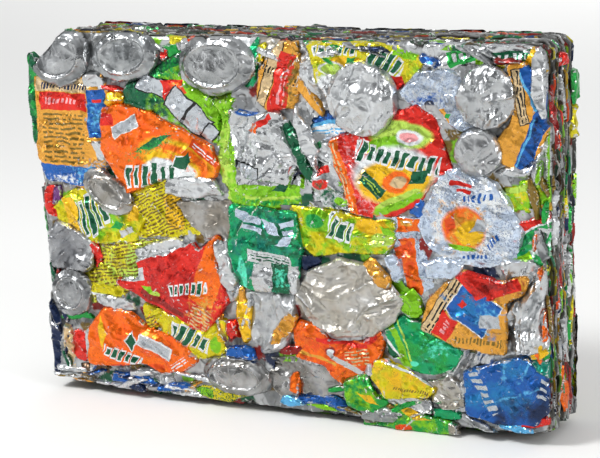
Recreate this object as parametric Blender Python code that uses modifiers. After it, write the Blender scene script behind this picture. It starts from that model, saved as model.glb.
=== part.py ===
# Crushed can bale: drink cans flattened and pressed into one block that stands on its long edge.
# Metres, +Z up. The pressed face that shows whole cans looks along -Y. The origin is under the middle.

import math
import random

import bmesh
import bpy

MM = 0.001

# Driving sizes of the bale
BALE_WIDTH = 526 * MM
BALE_HEIGHT = 358 * MM
BALE_DEPTH = 90 * MM
GAP = 0.4 * MM

# A can's turned bottom stands proud of the face: body wall, shoulder, stand ring and sunk dome
END_HEIGHT = 5.0 * MM
END_STEPS = 16

# The pressed face: flattened cans lie on it in three levels, level 0 outermost
FACE_LEVELS = 3
LEVEL_PITCH = 3.0 * MM
CAN_THICKNESS = LEVEL_PITCH - GAP
CAN_EDGE_ROUND = 0.9 * MM
FACE_Y = -BALE_DEPTH / 2 + END_HEIGHT - CAN_THICKNESS
FACE_RAISE = 5 * MM

# The layers behind the face, seen edge-on from the sides, and the layer that closes the back
LAYER_COUNT = 6
BACK_THICKNESS = 7 * MM
LAYERS_START_Y = FACE_Y + FACE_LEVELS * LEVEL_PITCH
LAYERS_END_Y = BALE_DEPTH / 2 - BACK_THICKNESS
LAYER_PITCH = (LAYERS_END_Y - LAYERS_START_Y) / LAYER_COUNT

# A layer's rim is made of can edges: this long on average, this far in or out, with a notch between two cans
CAN_EDGE_LENGTH = 88 * MM
CAN_EDGE_SCATTER = 3.5 * MM
NOTCH_DEPTH = 5 * MM
NOTCH_HALF_WIDTH = 3 * MM
CORNER_CUT = 9 * MM
TOP_LEFT_CUT = 30 * MM
STANDING_HALF_WIDTH = 175 * MM
LIFTED_END = 7 * MM

# The turned profile of a can's bottom, as shares of its radius and height
END_PROFILE = [
    (0.00, 0.42),
    (0.36, 0.50),
    (0.66, 0.74),
    (0.76, 1.00),
    (0.84, 0.80),
    (1.00, 0.46),
    (1.00, 0.00),
    (0.00, 0.00),
]

PALETTE = {
    "bare_aluminium": ("#A9ADB0", 0.9),
    "grey_aluminium": ("#8E8F90", 0.85),
    "orange_ink": ("#F26A12", 0.35),
    "red_ink": ("#D8241F", 0.35),
    "yellow_ink": ("#D9D01E", 0.35),
    "lime_ink": ("#7CC220", 0.35),
    "green_ink": ("#0A7A52", 0.45),
    "blue_ink": ("#1450A0", 0.45),
    "tan_ink": ("#DDA24A", 0.35),
    "white_ink": ("#C9D3E0", 0.35),
}

# Turned can bottoms on the face: name, level, levels it reaches down, ink, centre x and z,
# radius along x and z, turn in degrees
CAN_ENDS = [
    ("can_end_top_corner", 0, 1, "grey_aluminium", (-227, 332), (30, 23), 25),
    ("can_end_top_second", 0, 3, "grey_aluminium", (-155, 336), (32, 21), 8),
    ("can_end_top_third", 0, 1, "grey_aluminium", (-58, 330), (37, 25), 6),
    ("can_end_domed", 0, 1, "bare_aluminium", (89, 303), (33, 33), 0),
    ("can_end_creased", 0, 1, "bare_aluminium", (207, 309), (26, 27), 0),
    ("can_end_small", 0, 1, "bare_aluminium", (199, 261), (21, 21), 0),
    ("can_end_left", 0, 2, "grey_aluminium", (-231, 98), (19, 20), 0),
    ("can_end_oval", 0, 1, "grey_aluminium", (-183, 202), (26, 14), -32),
    ("can_end_bottom", 0, 1, "grey_aluminium", (-50, 30), (33, 15), -4),
]

# Flattened cans on the face: name, level, levels it reaches down where no can lies under it, ink,
# and outline as x and z on the face
FLAT_CANS = [
    ("can_orange_upper", 0, 1, "orange_ink",
     [(-185, 244), (-183, 282), (-168, 288), (-130, 281), (-108, 269), (-68, 252),
      (-62, 236), (-66, 226), (-118, 222), (-160, 204)]),
    ("can_red_torn", 0, 1, "red_ink",
     [(-178, 113), (-150, 119), (-153, 136), (-120, 143), (-92, 156), (-84, 150), (-64, 166),
      (-70, 142), (-57, 104), (-86, 70), (-112, 84)]),
    ("can_orange_lower", 0, 1, "orange_ink",
     [(-214, 28), (-212, 62), (-194, 83), (-166, 80), (-148, 66), (-118, 60), (-94, 42),
      (-110, 30), (-132, 27), (-150, 34), (-188, 28)]),
    ("can_tan_blue_red", 0, 1, "tan_ink",
     [(143, 96), (150, 120), (166, 138), (184, 150), (214, 143), (241, 150), (237, 137),
      (221, 126), (221, 80), (176, 83), (158, 90)]),
    ("can_blue", 0, 2, "blue_ink",
     [(185, 57), (214, 68), (240, 76), (258, 62), (264, 36), (248, 17), (212, 14), (187, 22)]),
    ("can_grey_wall", 0, 1, "grey_aluminium",
     [(-250, 124), (-252, 150), (-244, 168), (-226, 163), (-208, 152), (-206, 127), (-214, 123)]),
    ("can_deep_green", 0, 1, "green_ink",
     [(-50, 160), (-48, 195), (18, 193), (22, 160), (16, 119), (-20, 117), (-44, 122)]),
    ("can_crumpled_grey", 0, 3, "grey_aluminium",
     [(17, 113), (31, 139), (60, 152), (96, 146), (124, 118), (112, 101), (92, 86), (56, 79),
      (34, 92)]),
    ("can_yellow_wedge", 0, 1, "yellow_ink",
     [(92, 44), (96, 59), (110, 60), (153, 38), (146, 32), (106, 27)]),
    ("can_fruit_centre", 1, 2, "lime_ink",
     [(56, 262), (80, 272), (106, 279), (120, 291), (140, 298), (156, 287), (165, 262),
      (171, 245), (150, 228), (141, 212), (118, 199), (96, 196), (76, 199), (67, 226)]),
    ("can_yellow_top", 1, 2, "yellow_ink",
     [(37, 351), (86, 353), (122, 350), (147, 340), (138, 325), (118, 312), (60, 300),
      (44, 322)]),
    ("can_tan_column", 1, 1, "tan_ink",
     [(-257, 280), (-257, 311), (-184, 313), (-178, 300), (-180, 258), (-187, 218),
      (-212, 207), (-250, 212), (-259, 240)]),
    ("can_lime_dark", 1, 1, "green_ink",
     [(-158, 299), (-150, 314), (-122, 323), (-97, 338), (-88, 318), (-70, 304), (-60, 280),
      (-62, 257), (-110, 272), (-156, 283)]),
    ("can_silver_creased", 1, 1, "bare_aluminium",
     [(-44, 288), (-20, 284), (2, 286), (17, 272), (20, 240), (10, 222), (-30, 226),
      (-44, 240)]),
    ("can_tan_strip", 1, 2, "tan_ink",
     [(-16, 298), (-12, 326), (8, 351), (24, 353), (26, 318), (19, 293), (-6, 290)]),
    ("can_white_upper", 1, 2, "white_ink",
     [(128, 310), (143, 327), (170, 330), (186, 322), (203, 296), (208, 282), (184, 280),
      (172, 285), (160, 301), (138, 302)]),
    ("can_tan_crescent", 1, 1, "tan_ink",
     [(226, 338), (240, 337), (256, 322), (265, 300), (254, 262), (236, 248), (222, 252),
      (215, 268), (228, 284), (236, 302)]),
    ("can_white_speckled", 1, 1, "white_ink",
     [(140, 190), (147, 206), (165, 238), (186, 244), (214, 232), (226, 216), (236, 190),
      (230, 168), (206, 158), (170, 160), (150, 172)]),
    ("can_yellow_left", 1, 1, "yellow_ink",
     [(-247, 182), (-222, 200), (-196, 203), (-160, 196), (-149, 176), (-157, 157),
      (-206, 151), (-238, 164)]),
    ("can_grey_middle", 1, 1, "grey_aluminium",
     [(-107, 196), (-52, 199), (-46, 184), (-47, 168), (-74, 166), (-94, 178)]),
    ("can_silver_blade", 1, 2, "bare_aluminium",
     [(-78, 158), (-56, 163), (-43, 120), (-48, 106), (-60, 104), (-74, 138)]),
    ("can_silver_folds", 1, 2, "bare_aluminium",
     [(-36, 113), (12, 116), (10, 92), (2, 62), (-20, 57), (-34, 74)]),
    ("can_yellow_green", 1, 2, "yellow_ink",
     [(-150, 90), (-120, 84), (-62, 82), (-62, 50), (-98, 42), (-116, 62), (-146, 68)]),
    ("can_yellow_right", 1, 1, "yellow_ink",
     [(14, 199), (60, 197), (74, 193), (114, 190), (116, 176), (106, 163), (60, 162),
      (36, 155), (22, 168)]),
    ("can_orange_middle", 1, 1, "orange_ink",
     [(12, 80), (18, 88), (40, 86), (48, 74), (84, 74), (98, 90), (102, 76), (96, 56),
      (74, 42), (60, 34), (44, 52), (14, 56)]),
    ("can_green_round", 1, 1, "green_ink",
     [(107, 92), (124, 104), (150, 94), (170, 88), (178, 74), (170, 60), (150, 53), (124, 56),
      (109, 70)]),
    ("can_silver_right", 1, 1, "bare_aluminium",
     [(222, 162), (246, 164), (262, 150), (265, 96), (250, 84), (216, 82), (224, 124)]),
    ("can_silver_corner", 2, 1, "bare_aluminium",
     [(158, 30), (159, 58), (180, 79), (208, 78), (212, 66), (204, 54), (204, 24), (176, 16)]),
    ("can_lime_wide", 2, 1, "lime_ink",
     [(-74, 305), (-40, 309), (-46, 264), (-38, 236), (10, 240), (26, 225), (28, 199),
      (-22, 197), (-50, 201), (-66, 232), (-60, 262)]),
    ("can_silver_green_top", 2, 1, "green_ink",
     [(150, 351), (236, 353), (254, 349), (266, 322), (256, 316), (232, 338), (196, 334),
      (160, 331), (149, 342)]),
    ("can_silver_rim", 2, 1, "bare_aluminium",
     [(212, 242), (232, 250), (252, 264), (262, 288), (269, 262), (262, 244), (236, 241)]),
    ("can_lime_right", 2, 1, "lime_ink",
     [(208, 222), (216, 232), (250, 238), (264, 226), (264, 213), (226, 205)]),
    ("can_green_red", 2, 1, "green_ink",
     [(230, 197), (246, 202), (267, 208), (268, 152), (242, 160), (224, 162)]),
    ("can_yellow_print_upper", 2, 1, "yellow_ink",
     [(-160, 212), (-118, 220), (-98, 197), (-84, 168), (-120, 163), (-150, 161)]),
    ("can_yellow_print_lower", 2, 1, "yellow_ink",
     [(-206, 146), (-150, 154), (-104, 158), (-92, 148), (-148, 106), (-176, 96), (-212, 90),
      (-217, 120)]),
    ("can_green_red_strip", 2, 1, "green_ink",
     [(24, 262), (54, 260), (64, 228), (72, 202), (33, 202), (31, 226)]),
    ("can_blue_white", 2, 1, "blue_ink",
     [(32, 268), (36, 286), (52, 291), (76, 276), (60, 265)]),
    ("can_orange_white", 2, 1, "orange_ink",
     [(116, 195), (146, 196), (143, 170), (152, 130), (140, 122), (122, 130), (108, 158)]),
    ("can_grey_low", 2, 1, "grey_aluminium",
     [(-14, 50), (20, 54), (60, 44), (64, 24), (50, 12), (0, 12), (-14, 24)]),
    ("can_green_low", 0, 1, "lime_ink",
     [(64, 36), (84, 43), (94, 25), (104, 20), (92, 12), (68, 15)]),
    ("flap_green_left", 2, 1, "green_ink",
     [(-268, 244), (-271, 290), (-269, 334), (-261, 336), (-236, 308), (-236, 248)]),
    ("flap_yellow_bottom", 1, 2, "yellow_ink",
     [(-106, 16), (-60, 20), (-36, 12), (-60, 1), (-100, 3)]),
    ("flap_green_bottom", 1, 2, "green_ink",
     [(82, 8), (112, 24), (136, 15), (176, 8), (178, -4), (150, -5), (110, -5), (80, -5)]),
]

# The can that sticks out at the back of the right side, near the top: centre and size
RIGHT_FLAP_CENTRE = (266 * MM, 30 * MM, 318 * MM)
RIGHT_FLAP_SIZE = (5 * MM, 12 * MM, 34 * MM)

# The back: flattened cans strewn over a sheet, each standing out by its own height. Every fifth shows its bottom.
BACK_COLUMNS = 8
BACK_ROWS = 5
BACK_STRAY = 20 * MM
BACK_BED = 1.6 * MM
BACK_LOWEST = 3.0 * MM
BACK_TURNS = [0, 90, 20, -30, 70, -75]

# A flattened can's outline as shares of its half width and half length
FLATTENED = [(-0.8, -1), (0.8, -1), (1, -0.8), (0.92, 0), (1, 0.8), (0.75, 1), (-0.75, 1), (-1, 0.8),
             (-0.92, 0), (-1, -0.8)]
OVAL_POINTS = 16


def linear(hex_code):
    """sRGB hex to the linear colour that a shader takes."""
    shares = [int(hex_code[i:i + 2], 16) / 255 for i in (1, 3, 5)]
    return [s / 12.92 if s <= 0.04045 else ((s + 0.055) / 1.055) ** 2.4 for s in shares] + [1.0]


def make_materials():
    made = {}
    for name, (hex_code, metal) in PALETTE.items():
        material = bpy.data.materials.new(name)
        material.use_nodes = True
        shader = material.node_tree.nodes["Principled BSDF"]
        shader.inputs["Base Color"].default_value = linear(hex_code)
        shader.inputs["Metallic"].default_value = metal
        shader.inputs["Roughness"].default_value = 0.35
        made[name] = material
    return made


def clear_scene():
    for obj in list(bpy.data.objects):
        bpy.data.objects.remove(obj, do_unlink=True)


def new_collection(name):
    collection = bpy.data.collections.new(name)
    bpy.context.scene.collection.children.link(collection)
    return collection


def move_to(obj, collection):
    for owner in list(obj.users_collection):
        owner.objects.unlink(obj)
    collection.objects.link(obj)


def plate(name, outline, thickness, centre_y, material, collection, edge=0.0):
    """A flat piece in the XZ plane from an outline in metres, with chamfered edges where edge is given."""
    curve = bpy.data.curves.new(name, "CURVE")
    curve.dimensions = "2D"
    curve.fill_mode = "BOTH"
    curve.extrude = thickness / 2 - edge
    curve.bevel_depth = edge
    curve.bevel_resolution = 0
    curve.offset = -edge
    spline = curve.splines.new("POLY")
    spline.points.add(len(outline) - 1)
    for point, (x, z) in zip(spline.points, outline):
        point.co = (x, z, 0, 1)
    spline.use_cyclic_u = True
    curve.materials.append(material)
    obj = bpy.data.objects.new(name, curve)
    obj.rotation_euler = (math.radians(90), 0, 0)
    obj.location = (0, centre_y, 0)
    collection.objects.link(obj)
    return obj


def on_level(level, reach):
    """Thickness, and the y of the middle, of a can on this level that reaches down so many levels."""
    thickness = reach * LEVEL_PITCH - GAP
    return thickness, FACE_Y + level * LEVEL_PITCH + thickness / 2


def on_face(outline):
    return [(x * MM, z * MM + FACE_RAISE) for x, z in outline]


def make_flat_cans(materials, collection):
    for name, level, reach, ink, outline in FLAT_CANS:
        thickness, middle = on_level(level, reach)
        plate(name, on_face(outline), thickness, middle, materials[ink], collection, CAN_EDGE_ROUND)


def make_can_ends(materials, collection):
    """Each can bottom is one turned profile, squashed to an oval and stood to face -Y."""
    for name, level, reach, ink, (x, z), (radius_x, radius_z), turn in CAN_ENDS:
        thickness, middle = on_level(level, reach)
        wall = thickness - CAN_THICKNESS
        mesh = bpy.data.meshes.new(name)
        points = [(share, 0, height * END_HEIGHT + (wall if height else 0)) for share, height in END_PROFILE]
        edges = [(i, i + 1) for i in range(len(points) - 1)]
        mesh.from_pydata(points, edges, [])
        mesh.materials.append(materials[ink])
        obj = bpy.data.objects.new(name, mesh)
        screw = obj.modifiers.new("turn", "SCREW")
        screw.steps = screw.render_steps = END_STEPS
        screw.use_merge_vertices = True
        screw.merge_threshold = 0.0001
        screw.use_smooth_shade = False
        obj.scale = (radius_x * MM, radius_z * MM, 1)
        obj.rotation_euler = (math.radians(90), math.radians(-turn), 0)
        obj.location = (x * MM, middle + thickness / 2, z * MM + FACE_RAISE)
        collection.objects.link(obj)


def rim_side(start, end, outward, scatter, chance, drawn_in=lambda share: 0.0):
    """Points along one side of a layer, from corner to corner: can edges with a notch between each two.
    drawn_in says how far the side stands back at each share of its length."""
    length = math.dist(start, end)
    count = max(2, round(length / CAN_EDGE_LENGTH + chance.uniform(-0.7, 0.7)))
    joints = [0.0]
    joints += [(i + chance.uniform(-0.25, 0.25)) / count for i in range(1, count)]
    joints.append(1.0)
    notch = NOTCH_HALF_WIDTH / length
    corner = CORNER_CUT / length
    points = []

    def put(share, out):
        out -= drawn_in(share)
        along = [a + (b - a) * share for a, b in zip(start, end)]
        points.append([place + side * out for place, side in zip(along, outward)])

    for i in range(count):
        out = chance.uniform(-scatter, 0)
        put(joints[i] + (notch if i else corner), out)
        put(joints[i + 1] - (notch if i < count - 1 else corner), out)
        if i < count - 1:
            put(joints[i + 1], -NOTCH_DEPTH * chance.uniform(0.7, 1.1))
    return points


def layer_outline(chance, floor):
    """A layer's rim, counter-clockwise from the bottom left. Its middle stands on the floor."""
    right = BALE_WIDTH / 2
    top = BALE_HEIGHT + FACE_RAISE

    def lifted_ends(share):
        x = abs(share - 0.5) * BALE_WIDTH
        return LIFTED_END * max(0.0, (x - STANDING_HALF_WIDTH) / (right - STANDING_HALF_WIDTH))

    scatter = CAN_EDGE_SCATTER
    points = rim_side((-right, floor), (right, floor), (0, -1), 0.0, chance, lifted_ends)
    points += rim_side((right, floor), (right, top), (1, 0), scatter, chance)
    points += rim_side((right, top), (-right + TOP_LEFT_CUT, top), (0, 1), scatter, chance)
    points += rim_side((-right, top - TOP_LEFT_CUT), (-right, floor), (-1, 0), scatter, chance)
    return points


def make_layers(materials, collection):
    """The layers of crushed cans behind the face. The first is drawn up a little, as a pressed edge is."""
    for number in range(LAYER_COUNT):
        chance = random.Random(number + 1)
        floor = FACE_RAISE if number == 0 else 0.0
        middle = LAYERS_START_Y + (number + 0.5) * LAYER_PITCH
        plate(f"pressed_layer_{number + 1:02d}", layer_outline(chance, floor), LAYER_PITCH - GAP,
              middle, materials["bare_aluminium"], collection)


def as_mesh(obj, collection):
    """The curve object as a mesh object of the same name, welded, so that a Boolean takes it."""
    graph = bpy.context.evaluated_depsgraph_get()
    mesh = bpy.data.meshes.new_from_object(obj.evaluated_get(graph))
    faces = bmesh.new()
    faces.from_mesh(mesh)
    bmesh.ops.remove_doubles(faces, verts=faces.verts, dist=0.00001)
    faces.to_mesh(mesh)
    faces.free()
    name, matrix = obj.name, obj.matrix_world.copy()
    bpy.data.objects.remove(obj, do_unlink=True)
    made = bpy.data.objects.new(name, mesh)
    made.matrix_world = matrix
    collection.objects.link(made)
    return made


def turned_outline(shape, x, z, turn):
    """An outline turned by so many degrees and moved to x, z."""
    c, s = math.cos(math.radians(turn)), math.sin(math.radians(turn))
    return [(x + u * c - v * s, z + u * s + v * c) for u, v in shape]


def back_cans():
    """Each can of the back: its outline, and how far its face stands out from the bed."""
    chance = random.Random(8)
    cells = [(column, row) for column in range(BACK_COLUMNS) for row in range(BACK_ROWS)]
    chance.shuffle(cells)
    cans = []
    for number, (column, row) in enumerate(cells):
        x = BALE_WIDTH * ((column + 0.5) / BACK_COLUMNS - 0.5) + chance.uniform(-BACK_STRAY, BACK_STRAY)
        z = FACE_RAISE + BALE_HEIGHT * (row + 0.5) / BACK_ROWS + chance.uniform(-BACK_STRAY, BACK_STRAY)
        turn = chance.choice(BACK_TURNS) + chance.uniform(-15, 15)
        if number % 5 == 4:
            half_width, half_length = chance.uniform(24, 33) * MM, chance.uniform(19, 28) * MM
            angles = [math.tau * i / OVAL_POINTS for i in range(OVAL_POINTS)]
            shape = [(half_width * math.cos(a), half_length * math.sin(a)) for a in angles]
        else:
            half_width, half_length = chance.uniform(26, 39) * MM, chance.uniform(42, 58) * MM
            shape = [(u * half_width * chance.uniform(0.85, 1.08), v * half_length * chance.uniform(0.88, 1.06))
                     for u, v in FLATTENED]
        share = number / (len(cells) - 1)
        cans.append((turned_outline(shape, x, z, turn), share))
    return cans


def make_back(materials, collection, cutters):
    """One layer that closes the back: a rim like the others', over a bed with flattened cans on it."""
    chance = random.Random(LAYER_COUNT + 1)
    start = BALE_DEPTH / 2 - BACK_THICKNESS + GAP / 2
    bed_top = start + BACK_BED
    highest = BALE_DEPTH / 2 - GAP / 2
    thickness = BACK_THICKNESS + GAP
    slab = plate("back_layer", layer_outline(chance, 0.0), thickness, start + thickness / 2,
                 materials["grey_aluminium"], collection)
    bpy.ops.mesh.primitive_cube_add(size=1, location=(0, bed_top - BACK_BED, BALE_HEIGHT / 2))
    bed = bpy.context.object
    bed.name = "back_bed"
    bed.scale = (1.3 * BALE_WIDTH, 2 * BACK_BED, 1.3 * BALE_HEIGHT)
    move_to(bed, cutters)
    heap = new_collection("back_cans")
    heap.hide_render = True
    prisms = []
    for number, (outline, share) in enumerate(back_cans()):
        face = bed_top + BACK_LOWEST + share * (highest - bed_top - BACK_LOWEST)
        bottom = bed_top - BACK_BED / 2
        prisms.append(plate(f"back_can_{number + 1:02d}", outline, face - bottom, (face + bottom) / 2,
                            materials["grey_aluminium"], heap))
    bpy.context.view_layer.update()
    for prism in prisms:
        as_mesh(prism, heap)
    slab = as_mesh(slab, collection)
    join = bed.modifiers.new("cans", "BOOLEAN")
    join.operation = "UNION"
    join.operand_type = "COLLECTION"
    join.collection = heap
    trim = slab.modifiers.new("relief", "BOOLEAN")
    trim.operation = "INTERSECT"
    trim.object = bed
    cutters.hide_render = True


def make_right_flap(materials, collection):
    bpy.ops.mesh.primitive_cube_add(size=1, location=RIGHT_FLAP_CENTRE)
    flap = bpy.context.object
    flap.name = "flap_green_right"
    flap.scale = RIGHT_FLAP_SIZE
    flap.data.materials.append(materials["green_ink"])
    move_to(flap, collection)


def main():
    clear_scene()
    materials = make_materials()
    bale = new_collection("crushed_can_bale")
    cutters = new_collection("cutters")
    make_can_ends(materials, bale)
    make_flat_cans(materials, bale)
    make_layers(materials, bale)
    make_back(materials, bale, cutters)
    make_right_flap(materials, bale)


main()
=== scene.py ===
# The looks of a bale of crushed drink cans: lacquered and bare aluminium sheet, pressed, folded and scuffed.

import functools
import math
import random

import bpy
import numpy as np
from mathutils import Matrix, Vector


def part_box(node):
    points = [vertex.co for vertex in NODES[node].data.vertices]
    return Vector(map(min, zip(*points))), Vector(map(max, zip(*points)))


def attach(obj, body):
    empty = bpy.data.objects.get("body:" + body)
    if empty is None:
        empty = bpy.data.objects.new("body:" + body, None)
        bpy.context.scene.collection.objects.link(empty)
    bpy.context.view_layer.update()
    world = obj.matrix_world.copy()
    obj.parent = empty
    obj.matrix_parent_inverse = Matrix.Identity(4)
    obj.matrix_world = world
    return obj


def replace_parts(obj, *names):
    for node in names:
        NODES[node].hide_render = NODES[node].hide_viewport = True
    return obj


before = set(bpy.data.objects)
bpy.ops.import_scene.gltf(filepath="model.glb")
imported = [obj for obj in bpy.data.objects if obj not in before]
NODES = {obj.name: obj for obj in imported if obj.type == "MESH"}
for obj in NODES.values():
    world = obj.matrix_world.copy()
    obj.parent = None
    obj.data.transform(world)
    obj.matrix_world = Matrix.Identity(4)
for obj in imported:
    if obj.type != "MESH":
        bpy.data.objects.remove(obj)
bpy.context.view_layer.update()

MM = 0.001

# The face's own millimetres: x across, z up from this height over the floor, and y outward is negative
FACE_RAISE = 5.0

# Spacing of the meshes' points, in millimetres
FACE_STEP = 1.4
BACK_STEP = 2.1
BED_STEP = 1.9
EDGE_STEP = 2.2

# A flattened can on the face: how far it spreads past its pressed outline, and its belly, which is full
# this far in from the edge
SPREAD = 4.2
BELLY = 1.6
BELLY_FULL = 16.0

# The angle in degrees from which two facets meet in a sharp crease
SHARP_CREASE = 42

# Printing inks and metals as they look under the lacquer
INK = {
    "orange": "#F26A08",
    "deep_orange": "#DE4A0C",
    "red": "#D8261A",
    "dark_red": "#8E1B16",
    "yellow": "#D2C610",
    "warm_yellow": "#EDBB18",
    "lime": "#7FC216",
    "pale_lime": "#B5D856",
    "green": "#1C9A40",
    "dark_green": "#0A5A3A",
    "teal": "#0A7B68",
    "emerald": "#0A9C62",
    "mint": "#56DDB8",
    "blue": "#1A5AAA",
    "sky": "#5CB0E2",
    "navy": "#13264A",
    "amber": "#DC9C38",
    "tan": "#D6BA8C",
    "white": "#E4E8EA",
    "ice": "#C0CEE0",
    "silver": "#C4C7C9",
    "grey": "#8E9193",
    "beige": "#A09A8E",
    "black": "#181A1A",
    "pink": "#F0A0A4",
    "umber": "#7C6424",
    "vivid": "#F86008",
    "deep_red": "#B81C18",
    "sea": "#1E78B4",
    "slate": "#8C9BB4",
    "pale_grey": "#B6BCC2",
    "brown": "#5A4430",
    "purple": "#6E3A78",
}
UNPRINTED = ("silver", "grey", "beige")

# Aluminium that lost its ink, aluminium where it is brightest, and the dark colour of grime and of painted
# shade in its creases and hollows
WORN_METAL = "#C9CBCC"
BRIGHT_METAL = "#D2D4D6"
SHADE_AND_GRIME_COLOUR = "#2A2620"


# Colour and nodes


def linear(hex_code):
    """sRGB hex to the linear colour that a shader takes."""
    shares = [int(hex_code[i:i + 2], 16) / 255 for i in (1, 3, 5)]
    return tuple(s / 12.92 if s <= 0.04045 else ((s + 0.055) / 1.055) ** 2.4 for s in shares) + (1.0,)


def node(tree, kind, *values, out=None, **named):
    """Adds a node and gives its output named out, or its first. The values go to its sockets in order. Of
    the named ones, those in small letters are its properties and the others sockets, with _ for a space."""
    made = tree.nodes.new("ShaderNode" + kind)
    for name in [n for n in named if n.islower()]:
        setattr(made, name, named.pop(name))
    sockets = [s for s in made.inputs if s.enabled]
    by_name = {s.name: s for s in reversed(sockets)}
    given = list(zip(sockets, values)) + [(by_name[n.replace("_", " ")], v) for n, v in named.items()]
    for socket, value in given:
        if isinstance(value, bpy.types.NodeSocket):
            tree.links.new(value, socket)
        else:
            socket.default_value = value
    return next((s for s in made.outputs if s.enabled and out in (None, s.name)), None)


def new_material(name):
    """An empty material, and what adds nodes to it."""
    material = bpy.data.materials.new(name)
    material.use_nodes = True
    material.node_tree.nodes.clear()
    return material, functools.partial(node, material.node_tree)


# The print on a can: motifs on the face's own millimetres, as x, z, width, height and turn in degrees


# The share of a disc's radius from which its ink fades, and the roundness of a leaf
DISC_FADES = 0.84
LEAF_BEND = 0.7

# A mottle thins out by this much toward its edge, and its blotches end between these levels of the noise
MOTTLE_THINS = -0.16
MOTTLE_ENDS = (0.34, 0.52)

# Strokes: their slant in degrees, their middle in a cell, their least and greatest half width and height in
# shares of the cell, the height of the cell, and how much wider the ground round them is
STROKE_SLANT = 14
STROKE_MIDDLE = 0.46
STROKE_HALF_WIDTH = (0.18, 0.36)
STROKE_HEIGHT = (0.5, 0.98)
STROKE_CELL = 400
HALO = 0.12

# The share of places that hold no dash or no speck, and the height of a dash in its row
TYPE_GAPS = 0.25
SPECK_GAPS = 0.74
DASH_HEIGHT = 0.46


def motif_mask(add, place, kind, x, z, width, height, turn, pitch=6.0):
    """A mask for one printed shape. kind is box, disc, leaf, bars (strokes), halo (the
    ground just round the strokes), type (rows of dashes), specks or mottle."""
    half_size = (width / 2, height / 2, 1)
    local = add("Mapping", place, (x, z, 0), (0, 0, math.radians(turn)), half_size, vector_type="TEXTURE")
    if kind == "disc":
        length = add("VectorMath", local, operation="LENGTH")
        return add("MapRange", length, DISC_FADES, 1.0, 1.0, 0.0)
    positive = add("VectorMath", local, operation="ABSOLUTE")
    across, up, _ = add("SeparateXYZ", positive).node.outputs
    if kind == "leaf":
        bent = add("Math", up, LEAF_BEND, operation="POWER")
        reach = add("Math", across, bent, operation="ADD")
    else:
        reach = add("Math", across, up, operation="MAXIMUM")
    inside = add("Math", reach, 1.0, operation="LESS_THAN")
    if kind in ("box", "leaf"):
        return inside
    if kind == "mottle":
        # Blotches about pitch across that thin out toward the shape's edge
        cloud = add("TexNoise", place, Scale=1 / pitch, Detail=3.0, Roughness=0.6)
        thinned = add("Math", reach, MOTTLE_THINS, cloud, operation="MULTIPLY_ADD")
        return add("MapRange", thinned, *MOTTLE_ENDS)
    if kind in ("bars", "halo"):
        cell_size, low, slant = (pitch, STROKE_CELL, 1), STROKE_CELL / 2, STROKE_SLANT
    else:
        cell_size, low, slant = (pitch / 2, pitch if kind == "type" else pitch / 2, 1), 0, 0
    leaning = (0, 0, math.radians(turn - slant))
    rows = add("Mapping", place, (x, z - low, 0), leaning, cell_size, vector_type="TEXTURE")
    cell = add("VectorMath", rows, operation="FLOOR")
    chance, chances = add("TexWhiteNoise", cell, noise_dimensions="2D").node.outputs
    if kind in ("bars", "halo"):
        # Strokes of unlike widths and heights
        grow = HALO if kind == "halo" else 0.0
        narrow, broad = STROKE_HALF_WIDTH
        low, high = STROKE_HEIGHT
        part = add("VectorMath", rows, operation="FRACTION")
        off = add("Math", add("SeparateXYZ", part, out="X"), STROKE_MIDDLE, operation="SUBTRACT")
        off = add("Math", off, operation="ABSOLUTE")
        wide = add("MapRange", add("SeparateXYZ", chances, out="Y"), 0.0, 1.0, narrow + grow, broad + grow)
        drawn = add("Math", off, wide, operation="LESS_THAN")
        tall = add("MapRange", chance, 0.0, 1.0, low + grow, high)
        reached = add("Math", up, tall, operation="LESS_THAN")
        both = add("Math", drawn, reached, operation="MULTIPLY")
        return add("Math", both, inside, operation="MULTIPLY")
    gaps = TYPE_GAPS if kind == "type" else SPECK_GAPS
    drawn = add("Math", chance, gaps, operation="GREATER_THAN")
    mask = add("Math", drawn, inside, operation="MULTIPLY")
    if kind == "specks":
        return mask
    part = add("VectorMath", rows, operation="FRACTION")
    line = add("Math", add("SeparateXYZ", part, out="Y"), DASH_HEIGHT, operation="LESS_THAN")
    return add("Math", mask, line, operation="MULTIPLY")


# Sizes on the metal in millimetres. The noise for creases gives lines about half its size apart. Handling
# marks are blotches, rubbed specks are drawn coarser than real ones so that they show, and the ripples are
# what thin sheet shows between its creases.
CREASE_SIZE = 15
KINK_SIZE = 27
MARK_SIZE = 14
SPECK_SIZE = 2.2
RIPPLE_SIZE = 2.5
CLOUD_SIZE = 22

# Between which levels of its noise a crease and a kink start and are full, and what that gives: how
# strongly creases wear the ink off, and how much grime and painted shade kinks hold
CRACKS = (1.05, 1.45, 0.0, 0.55)
KINKS = (1.15, 1.5, 0.0, 0.5)

# What specks add to the wear and patches to the grime with painted shade, and how much of each then shows
SPECK_WEAR = 0.9
WORN = (0.98, 1.2, 0.0, 0.85)
PATCH_SHADE_AND_GRIME = 0.55
SHADE_AND_GRIME_LEVELS = (0.55, 1.15, 0.0, 0.92)

# The patches' levels, how dark and light they are, and how much rougher painted shade and grime are
PATCHES = (0.3, 0.7)
PATCH_SHADES = (0.82, 1.1)
SHADE_AND_GRIME_ROUGHER = 0.4

# How deep the fine creases are, in millimetres, and the share that the ripples add
CREASE_DEPTH = 0.9
RIPPLE_SHARE = 0.3

# The lacquer, or the film that handling leaves on bare metal
FILM = 0.25
FILM_ROUGHNESS = 0.18

# How rough bare metal is: satin, or dull from handling, how much rougher where it is worn, and how far its
# clouds are brightened
SATIN = 0.22
DULL = 0.34
WORN_ROUGHER = 0.18
BRIGHT_CLOUDS = (0.4, 0.75, 0.0, 0.7)

# The print wavers with the sheet: the size of its waves and how far they shift it, in millimetres
WAVER_SIZE = 7
WAVER = 3.0


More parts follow.
